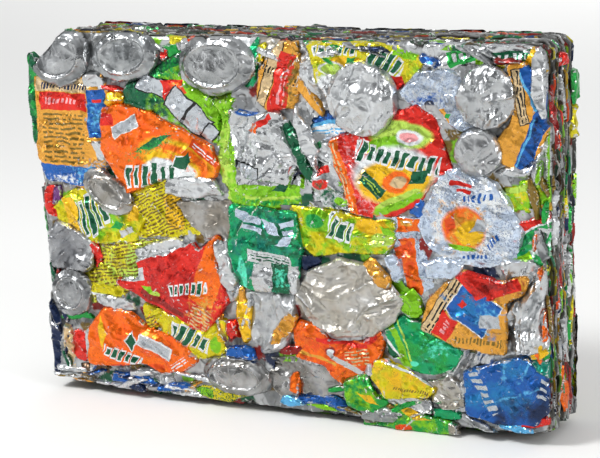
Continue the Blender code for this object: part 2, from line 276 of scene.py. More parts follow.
def aluminium_surface(add, colour, shine, rough, worn_rough, creased, bare=0.0):
    """Joins a colour to a can's surface: scuffed to bare metal on the folds, darkened in the hollows and
    creases by painted shade with grime.
    shine is how metallic the print looks, since thin ink lets the aluminium through; bare is where none is.
    creased is the strength of the fine creases."""
    place = add("TexCoord", out="Object")
    fold = add("Attribute", out="Fac", attribute_name="fold")
    deep = add("Attribute", out="Fac", attribute_name="deep")
    ridged = {"noise_type": "RIDGED_MULTIFRACTAL", "Roughness": 0.5, "Offset": 1.0, "Gain": 1.0}
    crinkle = add("TexNoise", place, Scale=1 / (CREASE_SIZE * MM), Detail=1.6, Lacunarity=2.3,
                  Distortion=0.8, **ridged)
    kinks = add("TexNoise", place, Scale=1 / (KINK_SIZE * MM), Detail=1.0, Lacunarity=2.6,
                Distortion=1.4, **ridged)
    patches = add("TexNoise", place, Scale=1 / (MARK_SIZE * MM), Detail=3.0, Roughness=0.6)
    specks = add("TexNoise", place, Scale=1 / (SPECK_SIZE * MM), Detail=2.0, Roughness=0.6)
    ripple = add("TexNoise", place, Scale=1 / (RIPPLE_SIZE * MM), Detail=1.0)

    # Ink is rubbed off along the folds and the sharpest creases, most where the specks are
    cracked = add("MapRange", crinkle, *CRACKS)
    raised = add("Math", fold, cracked, operation="ADD")
    rubbed = add("Math", specks, SPECK_WEAR, raised, operation="MULTIPLY_ADD")
    worn = add("MapRange", rubbed, *WORN)

    # Painted shade with grime: a dark colour mixed in over the hollows and along the kinks, in patches,
    # which also dulls the metal
    kinked = add("MapRange", kinks, *KINKS)
    hollows = add("Math", deep, kinked, operation="ADD")
    shade_and_dirt = add("Math", patches, PATCH_SHADE_AND_GRIME, hollows, operation="MULTIPLY_ADD")
    shade_and_grime = add("MapRange", shade_and_dirt, *SHADE_AND_GRIME_LEVELS)

    shade = add("MapRange", patches, *PATCHES, *PATCH_SHADES)
    varied = add("Mix", 1.0, colour, shade, data_type="RGBA", blend_type="MULTIPLY")
    scuffed = add("Mix", worn, varied, linear(WORN_METAL), data_type="RGBA")
    shaded_and_grimy = add("Mix", shade_and_grime, scuffed, linear(SHADE_AND_GRIME_COLOUR), data_type="RGBA")
    unprinted = add("Math", worn, bare, operation="MAXIMUM")
    metal = add("MapRange", unprinted, To_Min=shine, To_Max=1.0)
    unshaded_metal = add("Math", metal, shade_and_grime, operation="SUBTRACT")
    smooth = add("MapRange", patches, *PATCHES, rough, worn_rough)
    dull = add("Math", shade_and_grime, SHADE_AND_GRIME_ROUGHER, smooth, operation="MULTIPLY_ADD")
    relief = add("Math", ripple, RIPPLE_SHARE, crinkle, operation="MULTIPLY_ADD")
    bump = add("Bump", Strength=creased, Distance=CREASE_DEPTH * MM, Height=relief)
    shader = add("BsdfPrincipled", Base_Color=shaded_and_grimy, Metallic=unshaded_metal, Roughness=dull, Normal=bump,
                 Coat_Weight=FILM, Coat_Roughness=FILM_ROUGHNESS)
    add("OutputMaterial", Surface=shader)


def lacquered_aluminium(name, base, motifs=()):
    """Printed can body: litho inks under clear lacquer, glossy, with the metal glinting through."""
    material, add = new_material("lacquered_aluminium_" + name)
    sheet_place = add("UVMap", uv_map="print")
    waver = add("TexNoise", sheet_place, out="Color", Scale=1 / WAVER_SIZE, Detail=1.0)
    shift = add("VectorMath", waver, (WAVER, WAVER, 0), (-WAVER / 2, -WAVER / 2, 0),
                operation="MULTIPLY_ADD")
    place = add("VectorMath", sheet_place, shift, operation="ADD")
    colour = linear(INK[base])
    bare = 1.0 if base in UNPRINTED else 0.0
    for kind, ink, *shape in motifs:
        mask = motif_mask(add, place, kind, *shape)
        colour = add("Mix", mask, colour, linear(INK[ink]), data_type="RGBA")
        if bare or ink in UNPRINTED:
            bare = add("Mix", mask, bare, float(ink in UNPRINTED))
    creased = 0.6 if base in UNPRINTED else 0.75
    aluminium_surface(add, colour, shine=0.68, rough=0.2, worn_rough=0.36, creased=creased, bare=bare)
    return material


def bare_aluminium(name, tone, rough=SATIN):
    """Bare drawn aluminium of can ends and insides: satin, greyed by handling."""
    material, add = new_material("bare_aluminium_" + name)
    cloud = add("TexNoise", add("TexCoord", out="Object"), Scale=1 / (CLOUD_SIZE * MM), Detail=3.0)
    bright = add("MapRange", cloud, *BRIGHT_CLOUDS)
    colour = add("Mix", bright, linear(tone), linear(BRIGHT_METAL), data_type="RGBA")
    creased = 0.65 if rough == SATIN else 0.8
    aluminium_surface(add, colour, shine=0.92, rough=rough, worn_rough=rough + WORN_ROUGHER, creased=creased)
    return material


def edge_aluminium(name):
    """Folded can edges: colour from the attribute ink, bare where none is printed."""
    material, add = new_material("folded_edges_" + name)
    ink = add("Attribute", out="Color", attribute_name="ink")
    aluminium_surface(add, ink, shine=0.6, rough=0.28, worn_rough=0.5, creased=0.4)
    return material


def sheet_aluminium(name, ink):
    """A sheet of one ink, or bare."""
    return bare_aluminium(name, INK[ink]) if ink in UNPRINTED else lacquered_aluminium(name, ink)


@functools.cache
def shared_aluminium(use, ink):
    """The sheet of one ink that all pieces of one use share."""
    return sheet_aluminium(f"{use}_{ink}", ink)


# Height patterns in millimetres, as numpy arrays


# The height of a triangle with sides of 1
TRIANGLE_RISE = 0.8660254


def chance_at(i, j, seed):
    """A number from -1 to 1 for each lattice point."""
    mixed = (i.astype(np.int64) * 374761393 + j.astype(np.int64) * 668265263 + seed * 974711) & 0xFFFFFFFF
    mixed = ((mixed ^ (mixed >> 13)) * 1274126177) & 0xFFFFFFFF
    return ((mixed ^ (mixed >> 16)) & 0xFFFF) / 32767.5 - 1.0


def facets(x, z, cell, seed):
    """Flat triangles about cell across that meet in creases, between -1 and 1."""
    b = z / (cell * TRIANGLE_RISE)
    a = x / cell - 0.5 * b
    i, j = np.floor(a), np.floor(b)
    u, v = a - i, b - j
    upper = u + v > 1
    one = np.where(upper, u + v - 1, 1 - u - v)
    two = np.where(upper, 1 - v, u)
    three = np.where(upper, 1 - u, v)
    corner = upper.astype(float)
    return (one * chance_at(i + corner, j + corner, seed) + two * chance_at(i + 1, j, seed)
            + three * chance_at(i, j + 1, seed))


def eased(share):
    """A share from 0 to 1 that starts and ends gently."""
    return share * share * (3 - 2 * share)


def swell(x, z, cell, seed):
    """Soft rolling noise about cell across, between -1 and 1."""
    a, b = x / cell, z / cell
    i, j = np.floor(a), np.floor(b)
    u, v = eased(a - i), eased(b - j)
    low = chance_at(i, j, seed) * (1 - u) + chance_at(i + 1, j, seed) * u
    high = chance_at(i, j + 1, seed) * (1 - u) + chance_at(i + 1, j + 1, seed) * u
    return low * (1 - v) + high * v


# Below 1, this makes a ridge sharper and the hollows beside it rounder
RIDGE_POWER = 0.8


def ridges(x, z, cell, seed):
    """Sharp ridge lines about cell apart over rounded hollows, between -1 and 1."""
    return 1 - 2 * np.abs(swell(x, z, cell, seed)) ** RIDGE_POWER


# The folds of crushed sheet, each as its height and its spacing in millimetres: long ones, ones that cross
# them at a slant, and facets from large to fine. The first two are this many times as long as wide.
LONG_HEIGHT, LONG_SPACING, LONG_STRETCH = 1.9, 14.0, 3.4
CROSS_HEIGHT, CROSS_SPACING, CROSS_STRETCH = 0.8, 11.0, 2.6
CROSS_SLANT = 0.7
FACET_HEIGHTS = (1.9, 1.1, 0.55)
FACET_SPACINGS = (24.0, 10.0, 4.8)

# How far the folds wander, softly and by sharp bends, and how far the facets' own edges do
WANDER, WANDER_SPACING = 7.0, 38.0
BEND, BEND_SPACING = 2.0, 17.0
SHIFT, SHIFT_SPACING = 2.2, 15.0

# Parallel folds: the spacing of the main ones and of the fine ones between, and the fine ones' share. They
# wander more than the rest, and bow by this much per square millimetre.
STREAK_SPACING, STREAK_STRETCH = 10.5, 4.0
FINE_STREAK_SPACING, FINE_STREAK_STRETCH = 5.5, 3.0
FINE_STREAK_SHARE = 0.4
STREAK_WANDER = 1.6
STREAK_BOW = 0.01


def crushed(x, z, turn, seed, strength, streak=0.0):
    """The crumple of thin sheet: long folds along one way, shorter ones across them, then facets.
    streak is the height of parallel folds on top."""
    c, s = math.cos(math.radians(turn)), math.sin(math.radians(turn))
    along, across = x * c + z * s, -x * s + z * c
    bend = (WANDER * swell(along, across, WANDER_SPACING, seed + 5)
            + BEND * facets(along, across, BEND_SPACING, seed + 6))
    folds = LONG_HEIGHT * ridges(along / LONG_STRETCH, across + bend, LONG_SPACING, seed)
    slanting = CROSS_SLANT * along + CROSS_SLANT * across + bend
    folds += CROSS_HEIGHT * ridges(slanting, (across - along) / CROSS_STRETCH, CROSS_SPACING, seed + 1)
    x_bent = x + SHIFT * facets(x, z, SHIFT_SPACING, seed + 6)
    z_bent = z + SHIFT * facets(x, z, SHIFT_SPACING, seed + 7)
    large, middle, fine = (height * facets(x_bent, z_bent, spacing, seed + 2 + n)
                           for n, (height, spacing) in enumerate(zip(FACET_HEIGHTS, FACET_SPACINGS)))
    folds += large + middle
    folds += fine
    if streak:
        bow = STREAK_BOW * (along - along.mean()) ** 2 * math.sin(seed)
        curved = across + STREAK_WANDER * bend + bow
        folds += streak * ridges(along / STREAK_STRETCH, curved, STREAK_SPACING, seed + 9)
        folds += FINE_STREAK_SHARE * streak * ridges(along / FINE_STREAK_STRETCH, curved,
                                                     FINE_STREAK_SPACING, seed + 10)
    return strength * folds


# Outlines


def turned(points, x, z, turn):
    """Points about a middle, turned and moved to x and z."""
    c, s = math.cos(math.radians(turn)), math.sin(math.radians(turn))
    return [(x + u * c - v * s, z + u * s + v * c) for u, v in points]


def cap_outlines(name, outward):
    """The outlines of a node's flat faces on the side outward (-1 front, 1 back), in face millimetres."""
    mesh = NODES[name].data
    level = {}
    for face in mesh.polygons:
        if face.normal.y * outward > 0.99:
            corners = [tuple(round(c / MM, 2) for c in mesh.vertices[v].co) for v in face.vertices]
            height = round(corners[0][1], 1)
            level.setdefault(height, []).append([(x, z) for x, y, z in corners])
    faces = level[max(level, key=lambda y: y * outward)]
    edges = set()
    for corners in faces:
        edges.update((start, end) for start, end in zip(corners, corners[1:] + corners[:1]) if start != end)
    follow = {start: end for (start, end) in sorted(edges) if (end, start) not in edges}
    loops = []
    while follow:
        point = min(follow)
        loop = []
        while point in follow:
            loop.append(point)
            point = follow.pop(point)
        if len(loop) > 3:
            loops.append(np.array(loop) - (0, FACE_RAISE))
    return sorted(loops, key=len, reverse=True)


def depth_inside(points, outline):
    """How far each point lies inside the outline (negative outside), and the way inward."""
    start = outline
    along = np.roll(outline, -1, axis=0) - start
    length2 = np.maximum((along ** 2).sum(1), 1e-9)
    away = points[:, None, :] - start[None]
    share = np.clip((away * along[None]).sum(2) / length2[None], 0, 1)
    gap = away - share[..., None] * along[None]
    distance2 = (gap ** 2).sum(2)
    nearest = distance2.argmin(1)
    rows = np.arange(len(points))
    distance = np.sqrt(distance2[rows, nearest])
    z, z0 = points[:, 1:2], start[None, :, 1]
    z1 = z0 + along[None, :, 1]
    crossing = (z0 > z) != (z1 > z)
    rise = np.where(np.abs(along[:, 1]) < 1e-9, 1e-9, along[:, 1])
    hit = start[None, :, 0] + (z - z0) / rise[None] * along[None, :, 0]
    inside = (crossing & (points[:, 0:1] < hit)).sum(1) % 2 == 1
    sign = np.where(inside, 1.0, -1.0)
    direction = gap[rows, nearest] / np.maximum(distance, 1e-6)[:, None] * sign[:, None]
    return distance * sign, direction


def lattice(low, high, step):
    """Points of a triangular lattice over a box, and its triangles."""
    rise = step * TRIANGLE_RISE
    columns = int((high[0] - low[0]) / step) + 2
    rows = int((high[1] - low[1]) / rise) + 2
    i, j = np.meshgrid(np.arange(columns), np.arange(rows), indexing="ij")
    x = low[0] + (i + 0.5 * (j % 2)) * step
    z = low[1] + j * rise
    number = i * rows + j
    odd = (j[:-1, :-1] % 2).astype(bool)
    a, b = number[:-1, :-1], number[1:, :-1]
    c, d = number[:-1, 1:], number[1:, 1:]
    first = np.where(odd[..., None], np.stack([a, b, d], -1), np.stack([a, b, c], -1))
    second = np.where(odd[..., None], np.stack([a, d, c], -1), np.stack([b, d, c], -1))
    return np.stack([x.ravel(), z.ravel()], 1), np.concatenate([first.reshape(-1, 3), second.reshape(-1, 3)])


def kept_part(keep, triangles):
    """The triangles whose points are all kept, numbered anew, and which points they use."""
    triangles = triangles[keep[triangles].all(1)]
    used = np.unique(triangles)
    renumber = np.full(len(keep), -1)
    renumber[used] = np.arange(len(used))
    return used, renumber[triangles]


# A sheet's torn edge: how far it strays in waves and in teeth, and their sizes, in millimetres. The last is
# how far it stays in from the bale's rim.
EDGE_WAVE, EDGE_WAVE_SIZE = 1.3, 16.0
EDGE_TOOTH, EDGE_TOOTH_SIZE = 0.6, 6.0
RIM_TOOTH, RIM_TOOTH_SIZE = 0.8, 7.0


def cut_sheet(outline, spread, step, seed, limit):
    """A flat sheet of this outline grown by spread, with a ragged edge: points, triangles, depth inside.
    limit is an outline that it may not leave, or None."""
    margin = spread + 3
    points, triangles = lattice(outline.min(0) - margin, outline.max(0) + margin, step)
    inside, inward = depth_inside(points, outline)
    x, z = points[:, 0], points[:, 1]
    depth = (inside + spread + EDGE_WAVE * swell(x, z, EDGE_WAVE_SIZE, seed)
             + EDGE_TOOTH * facets(x, z, EDGE_TOOTH_SIZE, seed + 1))
    if limit is not None:
        room, inward_too = depth_inside(points, limit)
        room += RIM_TOOTH * facets(x, z, RIM_TOOTH_SIZE, seed + 2)
        inward = np.where((room < depth)[:, None], inward_too, inward)
        depth = np.minimum(depth, room)
    keep = depth > -0.5 * step
    near = keep & (depth < 0.5 * step)
    points[near] -= inward[near] * depth[near, None]
    depth[near] = 0.0
    used, triangles = kept_part(keep, triangles)
    return points[used], triangles, depth[used]


def sharpness(triangles, height):
    """How much each point stands out from its neighbours."""
    ends = np.concatenate([triangles[:, [0, 1]], triangles[:, [1, 2]], triangles[:, [2, 0]]])
    total = np.zeros(len(height))
    count = np.zeros(len(height))
    for one, other in ((0, 1), (1, 0)):
        np.add.at(total, ends[:, one], height[ends[:, other]])
        np.add.at(count, ends[:, one], 1)
    return height - total / np.maximum(count, 1)


def make_piece(name, places, triangles, print_place, fold, deep, material, ink=None):
    """A mesh piece that rides on the bale, from points in millimetres."""
    mesh = bpy.data.meshes.new(name)
    mesh.from_pydata((places * MM).tolist(), [], triangles.tolist())
    layer = mesh.uv_layers.new(name="print")
    corners = np.zeros(len(mesh.loops), np.int32)
    mesh.loops.foreach_get("vertex_index", corners)
    layer.data.foreach_set("uv", print_place[corners].astype(np.float32).ravel())
    # The second attribute is the painted shade with grime that darkens hollows, gaps and creases
    for label, values in (("fold", fold), ("deep", deep)):
        attribute = mesh.attributes.new(label, "FLOAT", "POINT")
        attribute.data.foreach_set("value", np.clip(values, 0, 1).astype(np.float32))
    if ink is not None:
        attribute = mesh.attributes.new("ink", "FLOAT_COLOR", "POINT")
        attribute.data.foreach_set("color", ink.astype(np.float32).ravel())
    mesh.materials.append(material)
    mesh.shade_smooth()
    mesh.set_sharp_from_angle(angle=math.radians(SHARP_CREASE))
    piece = bpy.data.objects.new(name, mesh)
    bpy.context.scene.collection.objects.link(piece)
    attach(piece, "root")
    return piece


# The bale's sides


FACE_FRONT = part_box("can_orange_upper")[0].y / MM
SIDE_REACH = 262.0
BACK_REACH = 43.0
BALE_WIDTH, BALE_HEIGHT = 526, 358

# A point on each side, then the ways along, up and outward
SIDES = {
    "front": ((0, FACE_FRONT, FACE_RAISE), (1, 0, 0), (0, 0, 1), (0, -1, 0)),
    "back": ((0, BACK_REACH, FACE_RAISE), (1, 0, 0), (0, 0, 1), (0, 1, 0)),
    "right": ((SIDE_REACH, 0, FACE_RAISE), (0, 1, 0), (0, 0, 1), (1, 0, 0)),
    "left": ((-SIDE_REACH, 0, FACE_RAISE), (0, 1, 0), (0, 0, 1), (-1, 0, 0)),
    "top": ((0, 0, BALE_HEIGHT), (1, 0, 0), (0, 1, 0), (0, 0, 1)),
}


def stood_on(side, points, height, triangles):
    """Flat points put on a side of the bale at their heights, none under the floor, and their triangles,
    which face out."""
    origin, along, up, outward = (np.array(v, float) for v in SIDES[side])
    places = origin + points[:, :1] * along + points[:, 1:] * up + height[:, None] * outward
    places[:, 2] = np.maximum(places[:, 2], 0.0)
    facing = np.dot(np.cross(along, up), outward) > 0
    return places, triangles if facing else triangles[:, ::-1]


# The flattened cans of the face


# How far back each level of cans lies behind the one before it, in millimetres
LEVEL_PITCH = 3.0

# The height of the parallel folds of bare and of printed sheet
BARE_STREAK = 1.4
PRINTED_STREAK = 0.8


class Sheet:
    """A flattened can or a torn piece of one. level is how far back it lies, turn the way of its folds, end
    is 1 for a can end and less for one that is pressed flat, and node is the solid that it dresses."""

    def __init__(self, name, outline, level, material, turn, strength, end=0.0, spread=SPREAD, node=None):
        self.name = name
        self.outline = outline
        self.level = level
        self.material = material
        self.turn = turn
        self.strength = strength
        self.end = end
        self.spread = spread
        self.node = node
        self.limit = None
        self.bare = "bare" in material.name
        self.streak = BARE_STREAK if self.bare else PRINTED_STREAK
        self.seed = sum(ord(c) * (n + 3) for n, c in enumerate(name)) % 9973
        self.low = outline.min(0) - spread
        self.high = outline.max(0) + spread


def oval_of(outline):
    """Centre, half sizes and ways of an oval from its outline."""
    centre = (outline.max(0) + outline.min(0)) / 2
    spread = outline - centre
    values, ways = np.linalg.eigh(spread.T @ spread / len(outline))
    return centre, np.sqrt(2 * values[::-1]), ways[:, ::-1]


# A can's bottom by share of its radius: the stand ring, the sunk dome inside it, the shoulder outside it,
# and two fine grooves. Heights are in millimetres.
RING_RADIUS, RING_HEIGHT, RING_WIDTH, RING_SLOPE = 0.8, 1.3, 0.055, 0.08
DOME_RADIUS, DOME_SUNK, DOME_HEIGHT = 0.74, 1.2, 1.6
SHOULDER_RADIUS, SHOULDER_HEIGHT = 1.1, 3.0
GROOVE_DEPTH = 0.4
OUTER_GROOVE, OUTER_GROOVE_WIDTH = 0.93, 0.03
INNER_GROOVE, INNER_GROOVE_WIDTH = 0.6, 0.035

# The pleats of an end that was pressed flat: their width where they cross a circle of this radius, their
# height, how much they turn on the way out, and how far from the middle, in half sizes, they may start
PLEAT_CIRCLE = 13.0
PLEAT_WIDTH = 8.5
PLEAT_HEIGHT = 1.5
PLEAT_TWIST = 0.16
PINCH_STRAY = 0.3


def bump_at(r, middle, width):
    """A rounded ring at a radius."""
    return np.exp(-((r - middle) / width) ** 2)


def end_profile(r, ringed):
    """Height of a can's bottom over its rim, by share of the radius: shoulder, stand ring, sunk dome.
    ringed is 1 for a whole end, and less for one that is pressed flat."""
    ring = RING_HEIGHT * bump_at(r, RING_RADIUS, RING_WIDTH)
    shoulder = SHOULDER_HEIGHT * np.clip((SHOULDER_RADIUS - r) / (SHOULDER_RADIUS - RING_RADIUS), 0, 1)
    dome = -DOME_SUNK * ringed + DOME_HEIGHT * (1 - np.clip(r / DOME_RADIUS, 0, 1) ** 2)
    groove = (-GROOVE_DEPTH * bump_at(r, OUTER_GROOVE, OUTER_GROOVE_WIDTH)
              - GROOVE_DEPTH * bump_at(r, INNER_GROOVE, INNER_GROOVE_WIDTH))
    within = SHOULDER_HEIGHT + dome * np.clip((RING_RADIUS - r) / RING_SLOPE, 0, 1)
    return ringed * (ring + groove) + np.where(r > RING_RADIUS, shoulder, within)


def pleats(points, middle, half, seed):
    """Folds that run out from a pinch near the middle of an end that was pressed flat, between -1 and 1."""
    chance = random.Random(seed)
    stray = [chance.uniform(-PINCH_STRAY, PINCH_STRAY) for _ in range(2)]
    pinch = middle + half * stray
    away = points - pinch
    distance = np.sqrt((away ** 2).sum(1))
    way = PLEAT_CIRCLE * away / np.maximum(distance, 0.01)[:, None]
    x, z = way[:, 0] + PLEAT_TWIST * away[:, 1], way[:, 1] - PLEAT_TWIST * away[:, 0]
    return ridges(x, z, PLEAT_WIDTH, seed + 40) * np.clip(distance / PLEAT_CIRCLE, 0, 1)


# A sheet is pressed back by this much under the ones over it. The step starts this far out from their
# edges, more or less by the second number in waves of the third, and is full within the last.
PRESSED_BACK = 3.0
MOAT, MOAT_STRAY, MOAT_WAVE = 0.5, 3.0, 21.0
MOAT_SLOPE = 6.0


def pressed_by(points, sheet, sheets):
    """How far the sheets that lie over this one press it back at each point."""
    push = np.zeros(len(points))
    for other in sheets:
        over = sheet.level - other.level
        apart = (other.low > sheet.high + MOAT_SLOPE).any() or (other.high < sheet.low - MOAT_SLOPE).any()
        if over <= 0.05 or other is sheet or apart:
            continue
        inside, _ = depth_inside(points, other.outline)
        moat = MOAT + MOAT_STRAY * swell(points[:, 0], points[:, 1], MOAT_WAVE, other.seed + 33)
        share = np.clip((inside + other.spread + moat) / MOAT_SLOPE, 0, 1)
        push = np.maximum(push, PRESSED_BACK * eased(share))
    return push


# A sheet's edge falls away by this much over this width, and by up to the next number more where it is
# loose, in waves of the third, all in millimetres
FALL, FALL_LOOSE = 1.2, 5.4
FALL_WIDTH, FALL_WIDTH_LOOSE = 0.9, 2.2
LOOSE_WAVE = 19.0

# How far a sheet leans at most, in millimetres over a millimetre, and the share of its creases left at its
# edge
LEAN = 0.018
EDGE_CREASES = 0.35

# The share of the creases that a whole end keeps, and over how much of its radius they come back
END_CREASES = 0.5
END_STIFF_TO = 0.4

# Ink wears off where a fold is as sharp as this, with this share of the edge's fall counted out
FOLD_SHARP, FOLD_WEAR, FALL_SHARP = 0.75, 0.85, 0.8

# It also wears off in scuffs in a band along the edge: where the band starts and ends, how softly, and how
# large and frequent the scuffs are
RIM_WEAR, RIM_FROM, RIM_TO, RIM_RISE, RIM_SINK = 0.45, 0.2, 2.6, 0.6, 1.2
SCUFF_SIZE, SCUFF_GAIN, SCUFF_CUT = 12.0, 1.6, 0.2

# Painted shade, with grime, starts at this depth in millimetres and is full this much deeper, so fallen
# edges, parts pressed back under other sheets and the hollows of creases are painted darker. Pressed and
# creased parts count as deep by these shares.
HOLLOW_SHADE_FROM, HOLLOW_SHADE_FULL = 2.2, 4.6
PRESSED_SHARE, CREASED_SHARE = 0.8, 0.2

# The print slips with the sheet's facets: how far and their size, in millimetres
SLIP, SLIP_SIZE = 1.6, 11.0


def build_sheet(sheet, sheets, side="front", step=FACE_STEP):
    """The crumpled sheet as a piece on one side of the bale."""
    points, triangles, depth = cut_sheet(sheet.outline, sheet.spread, step, sheet.seed, sheet.limit)
    x, z = points[:, 0], points[:, 1]
    loose = 0.5 + 0.5 * swell(x, z, LOOSE_WAVE, sheet.seed + 30)
    share = np.clip(depth / (FALL_WIDTH + FALL_WIDTH_LOOSE * loose), 0, 1)
    fall = (FALL + FALL_LOOSE * loose) * (1 - np.sqrt(1 - (1 - share) ** 2))
    belly = BELLY * (1 - np.exp(-depth / BELLY_FULL))
    tilt = random.Random(sheet.seed).uniform(-1, 1)
    centre = (sheet.low + sheet.high) / 2
    lean = LEAN * tilt * ((x - centre[0]) + (z - centre[1]))
    streak = 0.0 if sheet.end == 1 else sheet.streak
    creases = crushed(x, z, sheet.turn, sheet.seed, sheet.strength, streak)
    if sheet.end:
        # The stiff end creases less than its edge does
        middle, half, ways = oval_of(sheet.outline)
        radius = np.sqrt((((points - middle) @ ways / half) ** 2).sum(1))
        share_in = 1.0 - END_CREASES * sheet.end
        creases *= share_in + (1 - share_in) * np.clip((radius - RING_RADIUS) / END_STIFF_TO, 0, 1)
        creases += end_profile(radius, sheet.end)
        if sheet.end < 1:
            creases += PLEAT_HEIGHT * pleats(points, middle, half, sheet.seed)
    push = pressed_by(points, sheet, sheets)
    height = belly + lean + creases * (EDGE_CREASES + (1 - EDGE_CREASES) * share) - fall - push
    sharp = sharpness(triangles, height + FALL_SHARP * fall)
    rim = np.clip((depth - RIM_FROM) / RIM_RISE, 0, 1) * np.clip((RIM_TO - depth) / RIM_SINK, 0, 1)
    scuffs = np.clip(SCUFF_GAIN * swell(x, z, SCUFF_SIZE, sheet.seed + 31) - SCUFF_CUT, 0, 1)
    fold = np.clip(sharp / FOLD_SHARP, 0, 1) * FOLD_WEAR + RIM_WEAR * rim * scuffs
    # Painted shade: the farther a point lies back, at a falling edge, under other sheets or in a crease, the
    # darker
    hollow = fall + PRESSED_SHARE * push - creases * CREASED_SHARE
    deep = np.clip((hollow - HOLLOW_SHADE_FROM) / HOLLOW_SHADE_FULL, 0, 1)
    slip = np.stack([facets(x, z, SLIP_SIZE, sheet.seed + 8), facets(x, z, SLIP_SIZE, sheet.seed + 9)], 1)
    places, triangles = stood_on(side, points, height - sheet.level * LEVEL_PITCH, triangles)
    piece = make_piece(sheet.name, places, triangles, points + SLIP * sheet.strength * slip, fold, deep,
                       sheet.material)
    if sheet.node:
        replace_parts(piece, sheet.node)
    return piece


# A printed word's place is taken by green strokes on a white ground that follows them
STROKE_GROUND = 4


def green_strokes(x, z, width, height, turn, pitch):
    """Strokes as broad as this box, and their ground."""
    ground = (width + STROKE_GROUND, height + STROKE_GROUND)
    return [("halo", "white", x, z, *ground, turn, pitch),
            ("bars", "dark_green", x, z, width, height, turn, pitch)]


def edged(rim, edge, kind, ink, x, z, width, height, turn):
    """A printed shape with an edge of another ink, wider than it by rim in all."""
    return [(kind, edge, x, z, width + rim, height + rim, turn), (kind, ink, x, z, width, height, turn)]
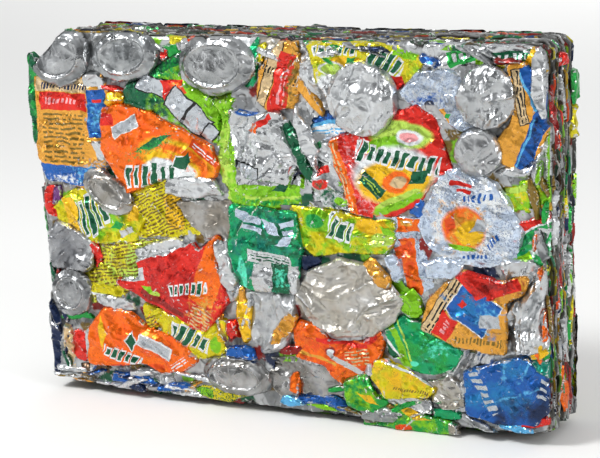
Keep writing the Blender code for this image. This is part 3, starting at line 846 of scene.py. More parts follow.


# What is printed on each can of the face, with a few painted highlights noted where they stand: base ink,
# then motifs. Sizes are in face millimetres.
PRINTS = {
    "can_tan_column": ("amber", [
        ("box", "tan", -228, 305, 60, 13, 0), ("bars", "navy", -226, 304, 50, 8, 0, 3.2),
        ("box", "red", -228, 289, 52, 17, 0), ("bars", "pink", -229, 289, 36, 8, 0, 4.5),
        ("box", "blue", -191, 279, 20, 46, 0), ("box", "red", -190, 291, 11, 3, 0),
        ("mottle", "sky", -191, 274, 16, 24, 0, 5), ("type", "umber", -229, 252, 46, 50, 0, 4.6),
        ("box", "silver", -189, 243, 12, 20, 10), ("box", "blue", -222, 216, 74, 20, -3),
        ("mottle", "sky", -200, 220, 34, 18, 12, 4), ("mottle", "white", -232, 212, 30, 8, 0, 3)]),
    "can_lime_dark": ("lime", [
        ("mottle", "dark_green", -128, 294, 70, 60, 10, 9), ("disc", "dark_green", -148, 297, 32, 44, 0),
        ("box", "dark_green", -116, 327, 56, 13, 24), ("mottle", "green", -112, 322, 50, 20, 24, 4),
        *edged(3, "black", "box", "pale_grey", -126, 309, 31, 15, -16),
        ("leaf", "red", -104, 303, 34, 34, -40), ("leaf", "deep_orange", -98, 307, 22, 16, -20),
        *edged(3, "black", "box", "pale_grey", -90, 284, 47, 23, -42),
        ("box", "black", -90, 284, 3, 26, -42),
        *edged(3, "black", "box", "pale_grey", -69, 264, 12, 17, -42),
        ("mottle", "pale_grey", -110, 272, 40, 12, -14, 5)]),
    "can_lime_wide": ("lime", [
        # The narrow pale lime box at x -57 is a painted highlight
        ("mottle", "pale_lime", -56, 250, 24, 90, 8, 8), ("box", "pale_lime", -57, 232, 5, 60, 12),
        ("box", "silver", -10, 244, 66, 50, 0), ("box", "pale_lime", -5, 207, 60, 3, 3),
        ("mottle", "green", -8, 202, 56, 8, 2, 5), ("leaf", "dark_green", 4, 218, 26, 9, 20)]),
    "can_silver_creased": ("silver", [
        ("box", "lime", -48, 256, 12, 70, 6), ("specks", "white", -30, 258, 26, 36, 4, 1.6),
        *edged(3, "black", "box", "pale_grey", -31, 229, 23, 19, -14),
        ("disc", "blue", -28, 287, 24, 9, 0), ("disc", "navy", -24, 291, 16, 5, 0),
        ("box", "red", -10, 279, 22, 5, 36), ("leaf", "orange", -21, 272, 16, 9, 20),
        ("leaf", "red", 14, 244, 8, 26, 0)]),
    "can_tan_strip": ("amber", [
        *edged(2, "black", "box", "tan", -2, 326, 10, 66, -20),
        ("type", "black", -2, 326, 7, 60, 70, 3.4), ("box", "red", 9, 314, 16, 60, -15),
        ("type", "pink", 9, 312, 34, 7, 75, 4), ("mottle", "umber", 20, 320, 12, 60, -14, 4)]),
    "can_yellow_top": ("yellow", [
        ("mottle", "lime", 92, 322, 90, 40, 0, 12), *green_strokes(64, 346, 38, 8, 3, 6),
        ("disc", "warm_yellow", 72, 334, 46, 14, 4), ("disc", "white", 60, 330, 26, 14, -6),
        ("disc", "pale_lime", 60, 330, 22, 11, -6), ("leaf", "green", 78, 337, 16, 8, 30),
        *green_strokes(110, 337, 32, 20, -20, 8), ("box", "lime", 130, 346, 24, 8, -8),
        ("disc", "white", 56, 314, 22, 24, 0), ("mottle", "silver", 56, 314, 20, 22, 0, 4),
        ("box", "red", 123, 312, 10, 26, 4)]),
    "can_blue_white": ("ice", [
        ("disc", "blue", 53, 288, 50, 22, 6), ("mottle", "navy", 53, 288, 44, 14, 6, 6),
        ("disc", "sky", 53, 278, 48, 8, 10), ("disc", "white", 53, 272, 46, 12, 10),
        ("type", "sky", 50, 271, 40, 6, 10, 3)]),
    "can_fruit_centre": ("red", [
        ("box", "orange", 67, 230, 13, 78, 17), ("type", "tan", 66, 230, 66, 8, 107, 3.4),
        ("mottle", "pink", 84, 230, 16, 60, 17, 4), ("disc", "pale_lime", 124, 273, 68, 28, -2),
        ("disc", "lime", 114, 264, 62, 14, 12), ("disc", "white", 134, 271, 28, 15, 4),
        ("disc", "pink", 134, 271, 20, 9, 4), ("disc", "white", 118, 236, 86, 56, 10),
        ("disc", "warm_yellow", 118, 230, 80, 44, 10), ("disc", "lime", 122, 210, 60, 12, 24),
        ("disc", "pale_lime", 122, 214, 54, 6, 24), *green_strokes(122, 251, 78, 19, -8, 8),
        ("disc", "orange", 121, 229, 30, 22, 15), ("disc", "tan", 123, 229, 18, 12, 15),
        ("leaf", "dark_green", 142, 235, 28, 16, 40), ("box", "dark_green", 97, 225, 27, 11, -42),
        ("type", "pale_lime", 97, 225, 22, 6, -42, 3)]),
    "can_white_upper": ("ice", [
        ("mottle", "pale_grey", 168, 306, 90, 60, -20, 9),
        ("specks", "slate", 166, 304, 80, 50, -20, 1.6), ("box", "amber", 166, 291, 9, 14, 25),
        ("leaf", "green", 170, 292, 10, 6, 25), ("mottle", "blue", 150, 304, 26, 10, 10, 4)]),
    "can_tan_crescent": ("amber", [
        *edged(2, "black", "box", "tan", 238, 310, 8, 48, 10),
        ("type", "black", 238, 310, 46, 6, 100, 3.2), ("box", "blue", 254, 314, 16, 52, 26),
        ("box", "sky", 246, 312, 2, 44, 26), ("box", "blue", 249, 274, 14, 58, -24),
        ("mottle", "navy", 251, 276, 11, 44, -24, 5), ("box", "sky", 242, 270, 2, 46, -24)]),
    "can_silver_green_top": ("silver", [
        ("box", "green", 186, 345, 34, 14, 20), ("bars", "white", 188, 346, 28, 8, 20, 6),
        ("box", "lime", 210, 338, 30, 10, 0), ("box", "dark_green", 226, 344, 44, 12, 6),
        ("bars", "white", 224, 344, 38, 8, 6, 6), ("leaf", "warm_yellow", 249, 334, 26, 44, 0),
        ("box", "yellow", 230, 336, 30, 5, -6)]),
    "can_lime_right": ("lime", [
        ("mottle", "yellow", 232, 224, 50, 24, 12, 8), ("box", "pale_lime", 236, 229, 34, 5, 12),
        ("mottle", "dark_green", 212, 222, 14, 16, 0, 4), ("box", "warm_yellow", 260, 214, 12, 8, 20)]),
    "can_white_speckled": ("ice", [
        ("mottle", "white", 188, 200, 110, 90, -12, 14), ("specks", "slate", 168, 214, 60, 60, -12, 1.6),
        ("specks", "slate", 208, 186, 50, 50, 20, 1.7), ("disc", "orange", 184, 191, 44, 42, 0),
        ("mottle", "amber", 184, 191, 38, 36, 0, 7), ("disc", "warm_yellow", 190, 187, 28, 24, 20),
        ("leaf", "deep_orange", 172, 195, 26, 12, 70), ("leaf", "pale_grey", 200, 194, 24, 14, 30),
        ("disc", "lime", 182, 173, 28, 6, -8), ("box", "red", 182, 231, 20, 4, -8),
        ("box", "red", 185, 225, 13, 3, -8), ("bars", "blue", 199, 220, 30, 8, 10, 5),
        ("bars", "blue", 211, 180, 16, 8, 40, 4), ("bars", "blue", 194, 165, 26, 5, 5, 4)]),
    "can_green_red": ("green", [
        ("mottle", "emerald", 248, 178, 50, 60, 0, 8), ("box", "white", 250, 204, 34, 16, 28),
        ("box", "red", 250, 204, 34, 12, 28), ("leaf", "silver", 257, 191, 24, 12, 28),
        ("mottle", "white", 254, 176, 20, 12, 10, 4), ("box", "lime", 236, 166, 20, 8, 30),
        ("box", "yellow", 252, 158, 30, 5, 4)]),
    "can_green_red_strip": ("silver", [
        ("box", "dark_green", 30, 246, 18, 60, -20), ("mottle", "green", 30, 246, 14, 50, -20, 6),
        ("box", "red", 47, 235, 14, 6, 20), ("disc", "red", 44, 223, 20, 10, 15),
        ("mottle", "dark_green", 52, 212, 28, 20, -15, 5), ("disc", "lime", 63, 207, 12, 9, 0)]),
    "can_yellow_right": ("yellow", [
        ("mottle", "lime", 70, 178, 110, 50, 0, 12), ("disc", "lime", 41, 189, 28, 24, -20),
        ("disc", "green", 38, 188, 17, 14, -20), *green_strokes(63, 181, 22, 27, -14, 8),
        ("disc", "warm_yellow", 95, 187, 34, 18, 0), ("disc", "pale_lime", 104, 176, 26, 14, 20),
        ("leaf", "lime", 110, 184, 20, 7, -30)]),
    "can_orange_white": ("ice", [
        ("specks", "slate", 126, 166, 50, 60, 10, 1.7), ("box", "orange", 131, 190, 24, 13, 0),
        ("box", "amber", 128, 192, 12, 5, 0), ("box", "orange", 132, 148, 15, 58, 6),
        ("mottle", "deep_orange", 130, 152, 14, 50, 6, 6), ("box", "deep_orange", 125, 165, 22, 11, 25)]),
    "can_green_round": ("emerald", [
        ("mottle", "green", 146, 76, 60, 50, 0, 14), ("box", "dark_green", 104, 72, 16, 34, 40),
        ("box", "white", 111, 76, 2.5, 40, 40), ("box", "lime", 118, 80, 7, 56, 24),
        ("box", "pale_lime", 124, 84, 2, 50, 20), ("disc", "mint", 134, 60, 8, 8, 0),
        ("mottle", "mint", 158, 80, 26, 16, 20, 4)]),
    "can_tan_blue_red": ("amber", [
        *edged(2, "black", "box", "tan", 163, 119, 10, 66, -33),
        ("type", "black", 163, 119, 58, 7, 57, 3.4),
        *edged(2, "white", "box", "blue", 194, 119, 41, 35, -34),
        ("mottle", "sea", 194, 118, 38, 32, -34, 12), ("leaf", "red", 183, 123, 11, 8, 0),
        ("mottle", "sky", 206, 112, 16, 20, -34, 5), ("box", "red", 165, 100, 17, 24, -30),
        ("bars", "pink", 166, 100, 16, 7, 60, 4), ("leaf", "red", 200, 144, 62, 36, -8),
        ("box", "red", 221, 139, 34, 11, 22), ("mottle", "dark_red", 212, 140, 50, 18, 14, 6),
        ("box", "pale_grey", 208, 108, 19, 12, 4), ("bars", "umber", 198, 89, 46, 8, 0, 3.4)]),
    # Blue can: darker towards the right and bottom; its thin sky and ice streaks are painted highlights
    "can_blue": ("blue", [
        ("mottle", "sea", 218, 54, 70, 52, 0, 22), ("mottle", "navy", 240, 22, 90, 26, 8, 26),
        ("mottle", "navy", 262, 44, 26, 60, 0, 20), ("mottle", "sky", 222, 66, 3, 26, -8, 5),
        ("mottle", "sky", 240, 64, 3, 24, -32, 5), ("mottle", "ice", 214, 72, 44, 3, 10, 4),
        ("mottle", "sky", 228, 40, 40, 3, 24, 5), ("bars", "pale_grey", 202, 42, 44, 11, -62, 6.5),
        ("bars", "pale_grey", 258, 52, 26, 8, 84, 6.5)]),
    "can_orange_middle": ("orange", [
        ("mottle", "deep_orange", 60, 66, 90, 50, 0, 9), ("box", "red", 62, 74, 50, 5, -3),
        ("disc", "dark_red", 50, 65, 13, 9, 20), ("disc", "white", 50, 65, 9, 5, 20),
        ("type", "tan", 78, 60, 24, 16, 10, 3.4), ("disc", "red", 89, 83, 17, 17, 20),
        ("disc", "pink", 87, 81, 7, 6, 20), ("box", "amber", 36, 57, 40, 3, -12),
        ("box", "silver", 64, 54, 40, 5, -28)]),
    "can_yellow_wedge": ("yellow", [
        ("mottle", "warm_yellow", 120, 46, 60, 30, 0, 10), ("bars", "umber", 130, 35, 36, 4, -6, 2.4),
        ("box", "white", 124, 54, 64, 2, -24)]),
    "can_green_low": ("green", [
        ("mottle", "lime", 80, 26, 40, 30, -20, 6), ("leaf", "warm_yellow", 88, 23, 26, 9, -30)]),
    "flap_green_left": ("dark_green", [("mottle", "green", -260, 290, 20, 90, 0, 8)]),
    "flap_yellow_bottom": ("yellow", [
        ("box", "lime", -92, 9, 30, 8, 0), ("specks", "dark_green", -70, 9, 70, 18, 0, 1.8)]),
    "flap_green_bottom": ("green", [
        ("mottle", "lime", 128, 8, 90, 30, -8, 8), ("leaf", "warm_yellow", 130, 13, 40, 13, -18),
        ("box", "deep_orange", 122, -2, 16, 4, 4), ("box", "beige", 172, 1, 12, 14, 0),
        ("box", "beige", 92, 4, 22, 8, 10), ("mottle", "dark_green", 108, 14, 30, 12, -20, 5)]),
    "can_orange_upper": ("orange", [
        ("mottle", "vivid", -140, 262, 90, 50, -20, 16), ("box", "red", -178, 274, 14, 12, 0),
        *edged(2, "white", "box", "pale_grey", -158, 268, 28, 10, 28),
        ("disc", "warm_yellow", -104, 238, 86, 42, -14), ("disc", "orange", -104, 236, 80, 36, -14),
        ("disc", "warm_yellow", -108, 234, 66, 28, -14), ("disc", "white", -110, 228, 60, 24, -6),
        ("mottle", "orange", -104, 240, 46, 10, -20, 5), ("leaf", "dark_green", -126, 254, 52, 9, 25),
        ("mottle", "green", -130, 250, 44, 8, 25, 3), *green_strokes(-132, 222, 54, 24, 6, 9.5),
        *edged(4, "white", "leaf", "dark_green", -98, 236, 22, 14, 30),
        ("leaf", "dark_green", -92, 238, 20, 9, 80), ("box", "deep_orange", -74, 246, 34, 9, -35),
        ("type", "white", -74, 246, 28, 5, -35, 3)]),
    "can_red_torn": ("red", [
        ("mottle", "deep_red", -120, 110, 100, 70, -20, 12), ("box", "silver", -124, 151, 70, 10, 21),
        ("box", "silver", -160, 122, 26, 12, 6), ("box", "orange", -72, 132, 26, 72, -22),
        ("mottle", "amber", -84, 92, 24, 40, -20, 5), *green_strokes(-99, 112, 37, 12, 6, 6),
        ("leaf", "lime", -142, 107, 20, 12, -30), ("disc", "pale_lime", -136, 104, 9, 7, 0),
        ("box", "dark_red", -128, 96, 50, 6, -24), ("type", "tan", -88, 84, 22, 22, -24, 3.4)]),
    "can_orange_lower": ("orange", [
        ("mottle", "vivid", -160, 56, 100, 50, -20, 14),
        *edged(3, "white", "box", "pale_grey", -139, 51, 35, 10, -21),
        *edged(4, "white", "leaf", "dark_green", -164, 54, 12, 20, -6),
        *green_strokes(-176, 38, 38, 11, -14, 7), ("leaf", "warm_yellow", -198, 60, 12, 36, 0),
        ("box", "deep_orange", -160, 28, 60, 5, 4), ("type", "white", -112, 36, 22, 7, 30, 3)]),
    "can_yellow_left": ("yellow", [
        ("mottle", "lime", -190, 176, 80, 50, 10, 11), *green_strokes(-203, 178, 30, 40, 26, 7.5),
        ("disc", "pale_lime", -172, 190, 26, 10, 0), ("leaf", "green", -176, 168, 24, 8, 20),
        ("box", "silver", -166, 163, 18, 7, 20), ("box", "warm_yellow", -226, 178, 16, 34, 10),
        ("box", "warm_yellow", -156, 186, 12, 24, 0)]),
    "can_yellow_print_upper": ("yellow", [
        ("box", "warm_yellow", -112, 186, 18, 34, 10), ("type", "umber", -128, 186, 60, 52, 24, 3.2),
        ("box", "red", -90, 190, 8, 12, 20)]),
    "can_yellow_print_lower": ("yellow", [
        ("mottle", "pale_lime", -150, 130, 120, 60, 12, 14),
        ("type", "umber", -152, 126, 120, 58, 10, 3.4), ("box", "yellow", -190, 104, 34, 8, -8),
        ("box", "white", -196, 98, 30, 3, -8)]),
    "can_yellow_green": ("yellow", [
        ("type", "umber", -139, 70, 14, 24, 26, 3.4), *green_strokes(-99, 63, 38, 22, -18, 8),
        ("disc", "lime", -72, 58, 12, 20, 0), ("box", "warm_yellow", -66, 72, 8, 20, 0)]),
    "can_deep_green": ("emerald", [
        ("mottle", "teal", -10, 160, 80, 90, 0, 12), ("mottle", "dark_green", 0, 176, 60, 50, 0, 8),
        # The narrow mint oval at x -37 is a painted highlight
        ("disc", "mint", -37, 134, 10, 34, 6), ("box", "ice", -30, 187, 28, 7, -20),
        ("box", "ice", -26, 177, 22, 5, -20), ("leaf", "ice", -6, 180, 26, 15, -34),
        ("box", "ice", 11, 184, 16, 6, 12), ("box", "ice", 12, 176, 12, 4, 12),
        ("box", "silver", -8, 149, 46, 12, -6), ("type", "dark_green", -8, 149, 42, 7, -6, 3),
        ("box", "silver", -2, 124, 48, 40, 2), ("box", "dark_green", 2, 124, 17, 42, 2),
        ("mottle", "mint", 2, 132, 12, 22, 0, 4), ("leaf", "ice", 8, 168, 26, 9, 30)]),
}

# Cans with no print, by the tone of their metal
BARE = {
    "can_end_top_corner": "#75787A", "can_end_top_second": "#7C8082", "can_end_top_third": "#8A8D8E",
    "can_end_domed": "#C0C3C5", "can_end_creased": "#A9ACAE", "can_end_small": "#A4A6A8",
    "can_end_left": "#76787A", "can_end_oval": "#8C8880", "can_end_bottom": "#7E7D7A",
    "can_grey_wall": "#74767A", "can_grey_middle": "#8E887E", "can_crumpled_grey": "#B6B1A6",
    "can_silver_blade": "#B2B5B8", "can_silver_folds": "#BCBFC1", "can_silver_right": "#BDC0C2",
    "can_silver_corner": "#B4B6B8", "can_silver_rim": "#B4B7BA", "can_grey_low": "#7A7874",
}

# Can ends whose stand ring is pressed flat, and cans whose metal is duller than most
PRESSED_FLAT = ("can_end_creased", "can_end_domed", "can_end_small")
DULLED = ("can_crumpled_grey", "can_grey_middle", "can_silver_folds")

# How much of a pressed end's ring is left, and how far whole ends, pressed ends and flaps spread
PRESSED_END = 0.15
END_SPREAD = 4.5
PRESSED_END_SPREAD = 2.0
FLAP_SPREAD = 1.0

# Cans with long parallel folds, by the height of the folds in millimetres, and the height on printed cans
# whose ground is bare
LONG_FOLDS = {"can_silver_right": 2.3, "can_silver_corner": 2.2, "can_silver_rim": 2.4,
              "can_silver_folds": 1.8}
BARE_GROUND_FOLDS = 1.6

# Which way a can's long folds run, in degrees, and how strongly it is crushed, where not as most are
CRUSH = {
    "can_silver_folds": (86, 1.3), "can_silver_right": (70, 1.7), "can_silver_rim": (20, 1.7),
    "can_silver_blade": (70, 0.7), "can_silver_creased": (76, 1.6), "can_crumpled_grey": (12, 1.35),
    "can_orange_upper": (28, 0.7), "can_orange_lower": (-20, 0.8), "can_red_torn": (35, 0.9),
    "can_blue": (60, 0.8), "can_fruit_centre": (-20, 0.75), "can_deep_green": (40, 1.1),
    "can_tan_column": (0, 0.6), "can_green_round": (30, 0.8), "can_white_speckled": (-30, 0.9),
    "can_tan_blue_red": (-33, 0.8), "can_end_creased": (90, 1.2), "can_end_domed": (72, 1.2),
    "can_end_small": (40, 0.9), "can_silver_corner": (64, 1.4),
}

# Scraps that show between the cans: ink, x, z, width, height, turn, level
SCRAPS = {
    "scrap_yellow_top": ("yellow", -101, 351, 20, 12, -10, 1.4),
    "scrap_green_top": ("green", -103, 342, 26, 12, 8, 1.7),
    "scrap_red_top": ("red", -114, 338, 10, 15, 0, 1.2),
    "scrap_orange_top": ("deep_orange", -80, 350, 24, 11, 4, 1.6),
    "scrap_silver_top": ("silver", -92, 346, 12, 12, 20, 0.9),
    "scrap_mint_speckled": ("silver", -192, 309, 26, 16, 0, 0.8),
    "scrap_yellow_small": ("warm_yellow", -170, 292, 20, 18, -6, 0.7),
    "scrap_red_line": ("red", -172, 303, 24, 5, -4, 0.6),
    "scrap_silver_bright": ("silver", -88, 213, 56, 26, 2, 0.8),
    "scrap_red_left": ("red", -250, 187, 17, 38, -6, 1.4),
    "scrap_purple_left": ("purple", -243, 196, 10, 18, -10, 1.1),
    "scrap_red_spot": ("red", -203, 139, 10, 26, 6, 0.8),
    "scrap_green_rim": ("green", -230, 73, 34, 8, 4, 1.3),
    "scrap_silver_rim": ("silver", -184, 91, 46, 14, -6, 0.6),
    "scrap_red_low": ("red", -225, 44, 22, 38, -8, 1.0),
    "scrap_silver_strip": ("silver", -214, 40, 7, 44, 2, 0.5),
    "scrap_navy_left": ("navy", -256, 38, 15, 62, 0, 1.6),
    "scrap_tan_left": ("tan", -240, 38, 11, 62, 0, 1.3),
    "scrap_brown_low": ("brown", -212, 21, 36, 12, -6, 1.8),
    "scrap_amber_low": ("amber", -228, 15, 34, 12, 8, 2.0),
    "scrap_blue_low": ("blue", -168, 15, 44, 14, 3, 1.6),
    "scrap_red_base": ("red", -166, 5, 56, 5, 2, 2.2),
    "scrap_white_low": ("silver", -140, 20, 44, 12, -30, 1.3),
    "scrap_amber_drop": ("warm_yellow", -40, 88, 13, 56, 3, 0.6),
    "scrap_silver_red": ("silver", -126, 148, 58, 19, 14, 0.5),
    "scrap_silver_blade": ("silver", -57, 136, 14, 60, 17, -0.1),
    "scrap_green_blade": ("dark_green", 24, 250, 9, 72, 23, 0.75),
    "scrap_silver_left_blade": ("silver", 6, 258, 15, 60, 22, 0.7),
    "scrap_silver_right_blade": ("silver", 31, 264, 13, 58, 20, 0.8),
    "scrap_red_drop": ("red", -53, 76, 12, 22, 0, 0.4),
    "scrap_blue_drop": ("blue", -45, 54, 28, 14, 0, 0.3),
    "scrap_green_strip": ("emerald", -24, 326, 14, 54, -14, 1.5),
    "scrap_yellow_strip": ("yellow", -14, 340, 12, 26, -20, 1.7),
    "scrap_white_column": ("silver", 36, 318, 18, 64, 4, 1.5),
    "scrap_amber_mottled": ("amber", 31, 309, 11, 56, 40, 1.2),
    "scrap_blue_sliver": ("blue", 152, 340, 18, 8, -20, 0.8),
    "scrap_blue_centre": ("blue", 140, 206, 16, 20, 0, 1.3),
    "scrap_lime_edge": ("lime", 264, 256, 9, 62, 0, 1.4),
    "scrap_crinkle_edge": ("silver", 259, 326, 22, 60, 4, 0.9),
    "scrap_pale_mid": ("ice", 162, 152, 44, 26, 12, 1.5),
    "scrap_amber_mid": ("amber", 99, 144, 12, 42, 36, -0.1),
    "scrap_pale_tail": ("ice", 116, 148, 12, 36, 20, 1.2),
    "scrap_lime_fruit": ("lime", 131, 117, 20, 28, 6, 0.8),
    "scrap_navy_mid": ("navy", 31, 149, 26, 17, 0, 1.0),
    "scrap_yellow_right": ("warm_yellow", 253, 84, 20, 20, 20, 0.9),
    "scrap_teal_right": ("teal", 257, 68, 22, 14, -10, 1.0),
    "scrap_bronze": ("beige", 164, 36, 30, 36, 10, 1.2),
    "scrap_emerald_low": ("emerald", 165, 15, 28, 10, 0, 0.8),
    "scrap_silver_low": ("silver", 126, 22, 46, 13, -4, 1.2),
    "scrap_amber_centre": ("amber", 3, 82, 13, 46, -38, 0.3),
    "scrap_red_centre": ("dark_red", 8, 61, 26, 7, 4, 0.5),
    "scrap_orange_low": ("orange", 12, 28, 11, 22, 0, 0.7),
    "scrap_blue_base": ("blue", 38, 12, 56, 13, -2, 1.2),
    "scrap_sky_base": ("sky", 8, 11, 22, 8, 0, 1.0),
    "scrap_silver_shoulder": ("silver", 92, 52, 14, 18, 0, 0.7),
    "scrap_sky_corner": ("sky", 226, 12, 44, 9, -14, 0.4),
    "scrap_red_corner": ("red", 248, 17, 30, 11, 16, 0.3),
    "scrap_grey_green": ("grey", 96, 8, 40, 22, 4, 0.9),
}
SCRAP_STRENGTH = 1.15
SCRAP_SPREAD = 1.5

# A torn piece's corners in shares of half its size, and by how much they are scattered
TORN = [(-1, -0.5), (-0.3, -1), (0.5, -0.8), (1, -0.7), (0.9, 0.5), (0.4, 1), (-0.5, 0.8), (-0.9, 0.7)]
TORN_ALONG = (0.8, 1.15)
TORN_ACROSS = (0.7, 1.15)


def scrap_outline(x, z, width, height, turn, seed):
    """A torn piece with pointed ends, whose points are scattered."""
    chance = random.Random(seed)
    corners = []
    for u, v in TORN:
        u *= width / 2 * chance.uniform(*TORN_ALONG)
        v *= height / 2 * chance.uniform(*TORN_ACROSS)
        corners.append((u, v))
    return np.array(turned(corners, x, z, turn))


# Where narrow folded slivers show in a jumble: how many, x from and to, z from and to, their inks
SLIVERS = [
    (22, (-252, -70, 4, 26),
     ("blue", "dark_red", "silver", "navy", "amber", "silver", "umber", "white", "navy", "grey")),
    (8, (-256, -238, 20, 120), ("navy", "silver", "dark_red", "tan", "dark_green")),
    (14, (20, 200, 6, 28), ("green", "umber", "silver", "lime", "grey", "amber", "silver")),
    (14, (-240, 250, 340, 352), ("umber", "dark_red", "silver", "green", "grey", "navy")),
    (16, (246, 260, 30, 330), ("lime", "yellow", "silver", "umber", "grey", "green", "orange", "silver")),
    (8, (-75, -35, 60, 110), ("silver", "silver", "amber", "white")),
]

# Narrow folded slivers on the sides: side, how many, along from and to, up from and to, their inks
SIDE_SLIVERS = [
    ("right", 34, (-36, 40, 24, 312),
     ("dark_red", "silver", "umber", "lime", "yellow", "silver", "green", "navy", "dark_red", "grey",
      "deep_orange", "silver")),
    ("left", 22, (-36, 40, 24, 296), ("dark_green", "silver", "navy", "red", "grey", "amber", "silver")),
    ("top", 30, (-185, 215, -32, 34),
     ("dark_red", "umber", "silver", "navy", "green", "grey", "deep_orange", "umber", "grey")),
]

# How slivers vary on the face and on the sides: how far their turn strays in degrees, their lengths, widths
# and levels, and how they are crushed. A side's levels are millimetres outward.
FACE_SLIVER = {"use": "scrap", "stray": 14, "lengths": (18, 48), "widths": (3, 7), "levels": (0.2, 1.4),
               "per_level": 1.0, "strength": 0.7, "spread": 1.0}
SIDE_SLIVER = {"use": "side", "stray": 5, "lengths": (16, 50), "widths": (2.5, 6), "levels": (-0.9, 0.6),
               "per_level": -LEVEL_PITCH, "strength": 0.6, "spread": 0.8}


def make_sliver(name, chance, seed, span, inks, way):
    """A narrow folded sliver by chance within a span, along the span's longer side."""
    left, right, lowest, highest = span
    ink = chance.choice(inks)
    turn = chance.gauss(90 if right - left < highest - lowest else 0, way["stray"])
    outline = scrap_outline(chance.uniform(left, right), chance.uniform(lowest, highest),
                            chance.uniform(*way["lengths"]), chance.uniform(*way["widths"]), turn, seed)
    level = chance.uniform(*way["levels"]) / way["per_level"]
    return Sheet(name, outline, level, shared_aluminium(way["use"], ink), turn, way["strength"],
                 spread=way["spread"])


def can_sheet(name):
    """The sheet that dresses one solid can of the face."""
    is_end = name.startswith("can_end")
    outline = cap_outlines(name, 1 if is_end else -1)[0]
    level = 0.0 if is_end else (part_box(name)[0].y / MM - FACE_FRONT) / LEVEL_PITCH
    turn, strength = CRUSH.get(name, (random.Random(name).uniform(-60, 60), 1.0))
    if name in PRINTS:
        material = lacquered_aluminium(name, *PRINTS[name])
    else:
        material = bare_aluminium(name, BARE[name], DULL if name in DULLED else SATIN)
    if name in PRESSED_FLAT:
        end, spread = PRESSED_END, PRESSED_END_SPREAD
    else:
        end, spread = (1.0, END_SPREAD) if is_end else (0.0, SPREAD)
    sheet = Sheet(name + "_sheet", outline, level, material, turn, strength, end, spread, name)
    if name in LONG_FOLDS or PRINTS.get(name, ("",))[0] in UNPRINTED:
        sheet.streak = LONG_FOLDS.get(name, BARE_GROUND_FOLDS)
    return sheet


def face_sheets():
    """Every flattened can and scrap of the face."""
    elsewhere = ("pressed_layer", "back_layer", "flap_green_right")
    sheets = [can_sheet(name) for name in sorted(NODES) if not name.startswith(elsewhere)]
    for name, (ink, *place, level) in SCRAPS.items():
        outline = scrap_outline(*place, seed=name)
        sheets.append(Sheet(name, outline, level, shared_aluminium("scrap", ink), turn=place[-1],
                            strength=SCRAP_STRENGTH, spread=SCRAP_SPREAD))
    chance = random.Random(4)
    for group, (count, span, inks) in enumerate(SLIVERS):
        for number in range(count):
            name, seed = f"sliver_{group}_{number:02d}", group * 100 + number
            sheets.append(make_sliver(name, chance, seed, span, inks, FACE_SLIVER))
    return sheets


def make_face():
    sheets = face_sheets()
    rim = cap_outlines("pressed_layer_01", -1)[0]
    for sheet in sheets:
        # A flap stands out past the rim, and hardly spreads
        if "flap" in sheet.name:
            sheet.spread = FLAP_SPREAD
        else:
            sheet.limit = rim
        build_sheet(sheet, sheets)
    return sheets


# The crumpled bed behind the cans: how far out of the face and of the back it lies, how far it reaches in
# under them, how far its edge falls away, the spacing of its patches across and up, how far their edges
# stray in facets of a size, its folds, how sharp one is that is worn bare, the painted shade that darkens
# all of it where it lies back behind the cans, and its inks
FACE_BED_OUT = -6.6
BACK_BED_OUT = -3.4
BED_UNDER = 3.0
BED_FALL = 5.0
BED_PATCH = (19, 15)
BED_STRAY, BED_STRAY_SIZE = 9, 17
BED_FOLDS = {"turn": 30, "seed": 77, "strength": 0.9, "streak": 1.0}
BED_SHARP = 0.9
BED_SHADE = 0.35
BED_INKS = ["grey", "silver", "grey", "dark_green", "silver", "grey", "beige", "navy", "silver", "grey",
            "umber", "silver", "grey", "dark_red", "silver", "grey", "lime", "silver"]


def make_bed(name, sheets, side, out_by):
    """The crumpled cans that show between those in front: a bed behind them, in patches of many inks."""
    rim = sheets[-1].limit
    points, triangles = lattice(rim.min(0), rim.max(0), BED_STEP)
    room, _ = depth_inside(points, rim)
    cover = np.full(len(points), -99.0)
    for sheet in sheets:
        near = ((points > sheet.low - 2) & (points < sheet.high + 2)).all(1)
        inside, _ = depth_inside(points[near], sheet.outline)
        cover[near] = np.maximum(cover[near], inside)
    used, triangles = kept_part((cover < BED_UNDER) & (room > 0.5), triangles)
    points, room = points[used], room[used]
    x, z = points[:, 0], points[:, 1]
    height = crushed(x, z, **BED_FOLDS) - BED_FALL * np.clip(1 - room / BED_FALL, 0, 1) ** 2 + out_by
    column = np.floor((x + BED_STRAY * facets(x, z, BED_STRAY_SIZE, 4)) / BED_PATCH[0])
    row = np.floor((z + BED_STRAY * facets(x, z, BED_STRAY_SIZE, 5)) / BED_PATCH[1])
    share = (chance_at(column, row, 3) + 1) / 2
    table = np.array([linear(INK[i]) for i in BED_INKS])
    ink = table[np.clip((share * len(BED_INKS)).astype(int), 0, len(BED_INKS) - 1)]
    fold = sharpness(triangles, height) / BED_SHARP
    places, triangles = stood_on(side, points, height, triangles)
    piece = make_piece(name, places, triangles, points, fold, np.full(len(x), BED_SHADE),
                       edge_aluminium(name), ink)


# The rims of the pressed layers: folded can edges, seen from the sides, the top and below


EDGE_METALS = ["#8E8F8E", "#A7A8A6", "#77776F", "#9A9890", "#4A4B48", "#5E5F5C", "#C2C4C4"]
EDGE_INKS = ["dark_red", "umber", "deep_orange", "green", "navy", "red", "lime", "dark_green", "blue",
             "brown", "yellow", "warm_yellow", "emerald"]

# The share of edges that are printed, and the lengths in millimetres of printed and of bare ones
PRINTED_EDGES = 0.56
PRINTED_LENGTHS = (8, 34)
BARE_LENGTHS = (12, 60)

# How thick a folded edge is and the last one at least, how far one stands out, the notch where it ends, and
# how its brightness varies
STRAND_THICKNESS = (0.9, 2.2)
LAST_STRAND = 1.4
STRAND_OUT = (-3.6, 1.4)
STRAND_NOTCH = 1.4
STRAND_SHADES = (0.5, 1.15)

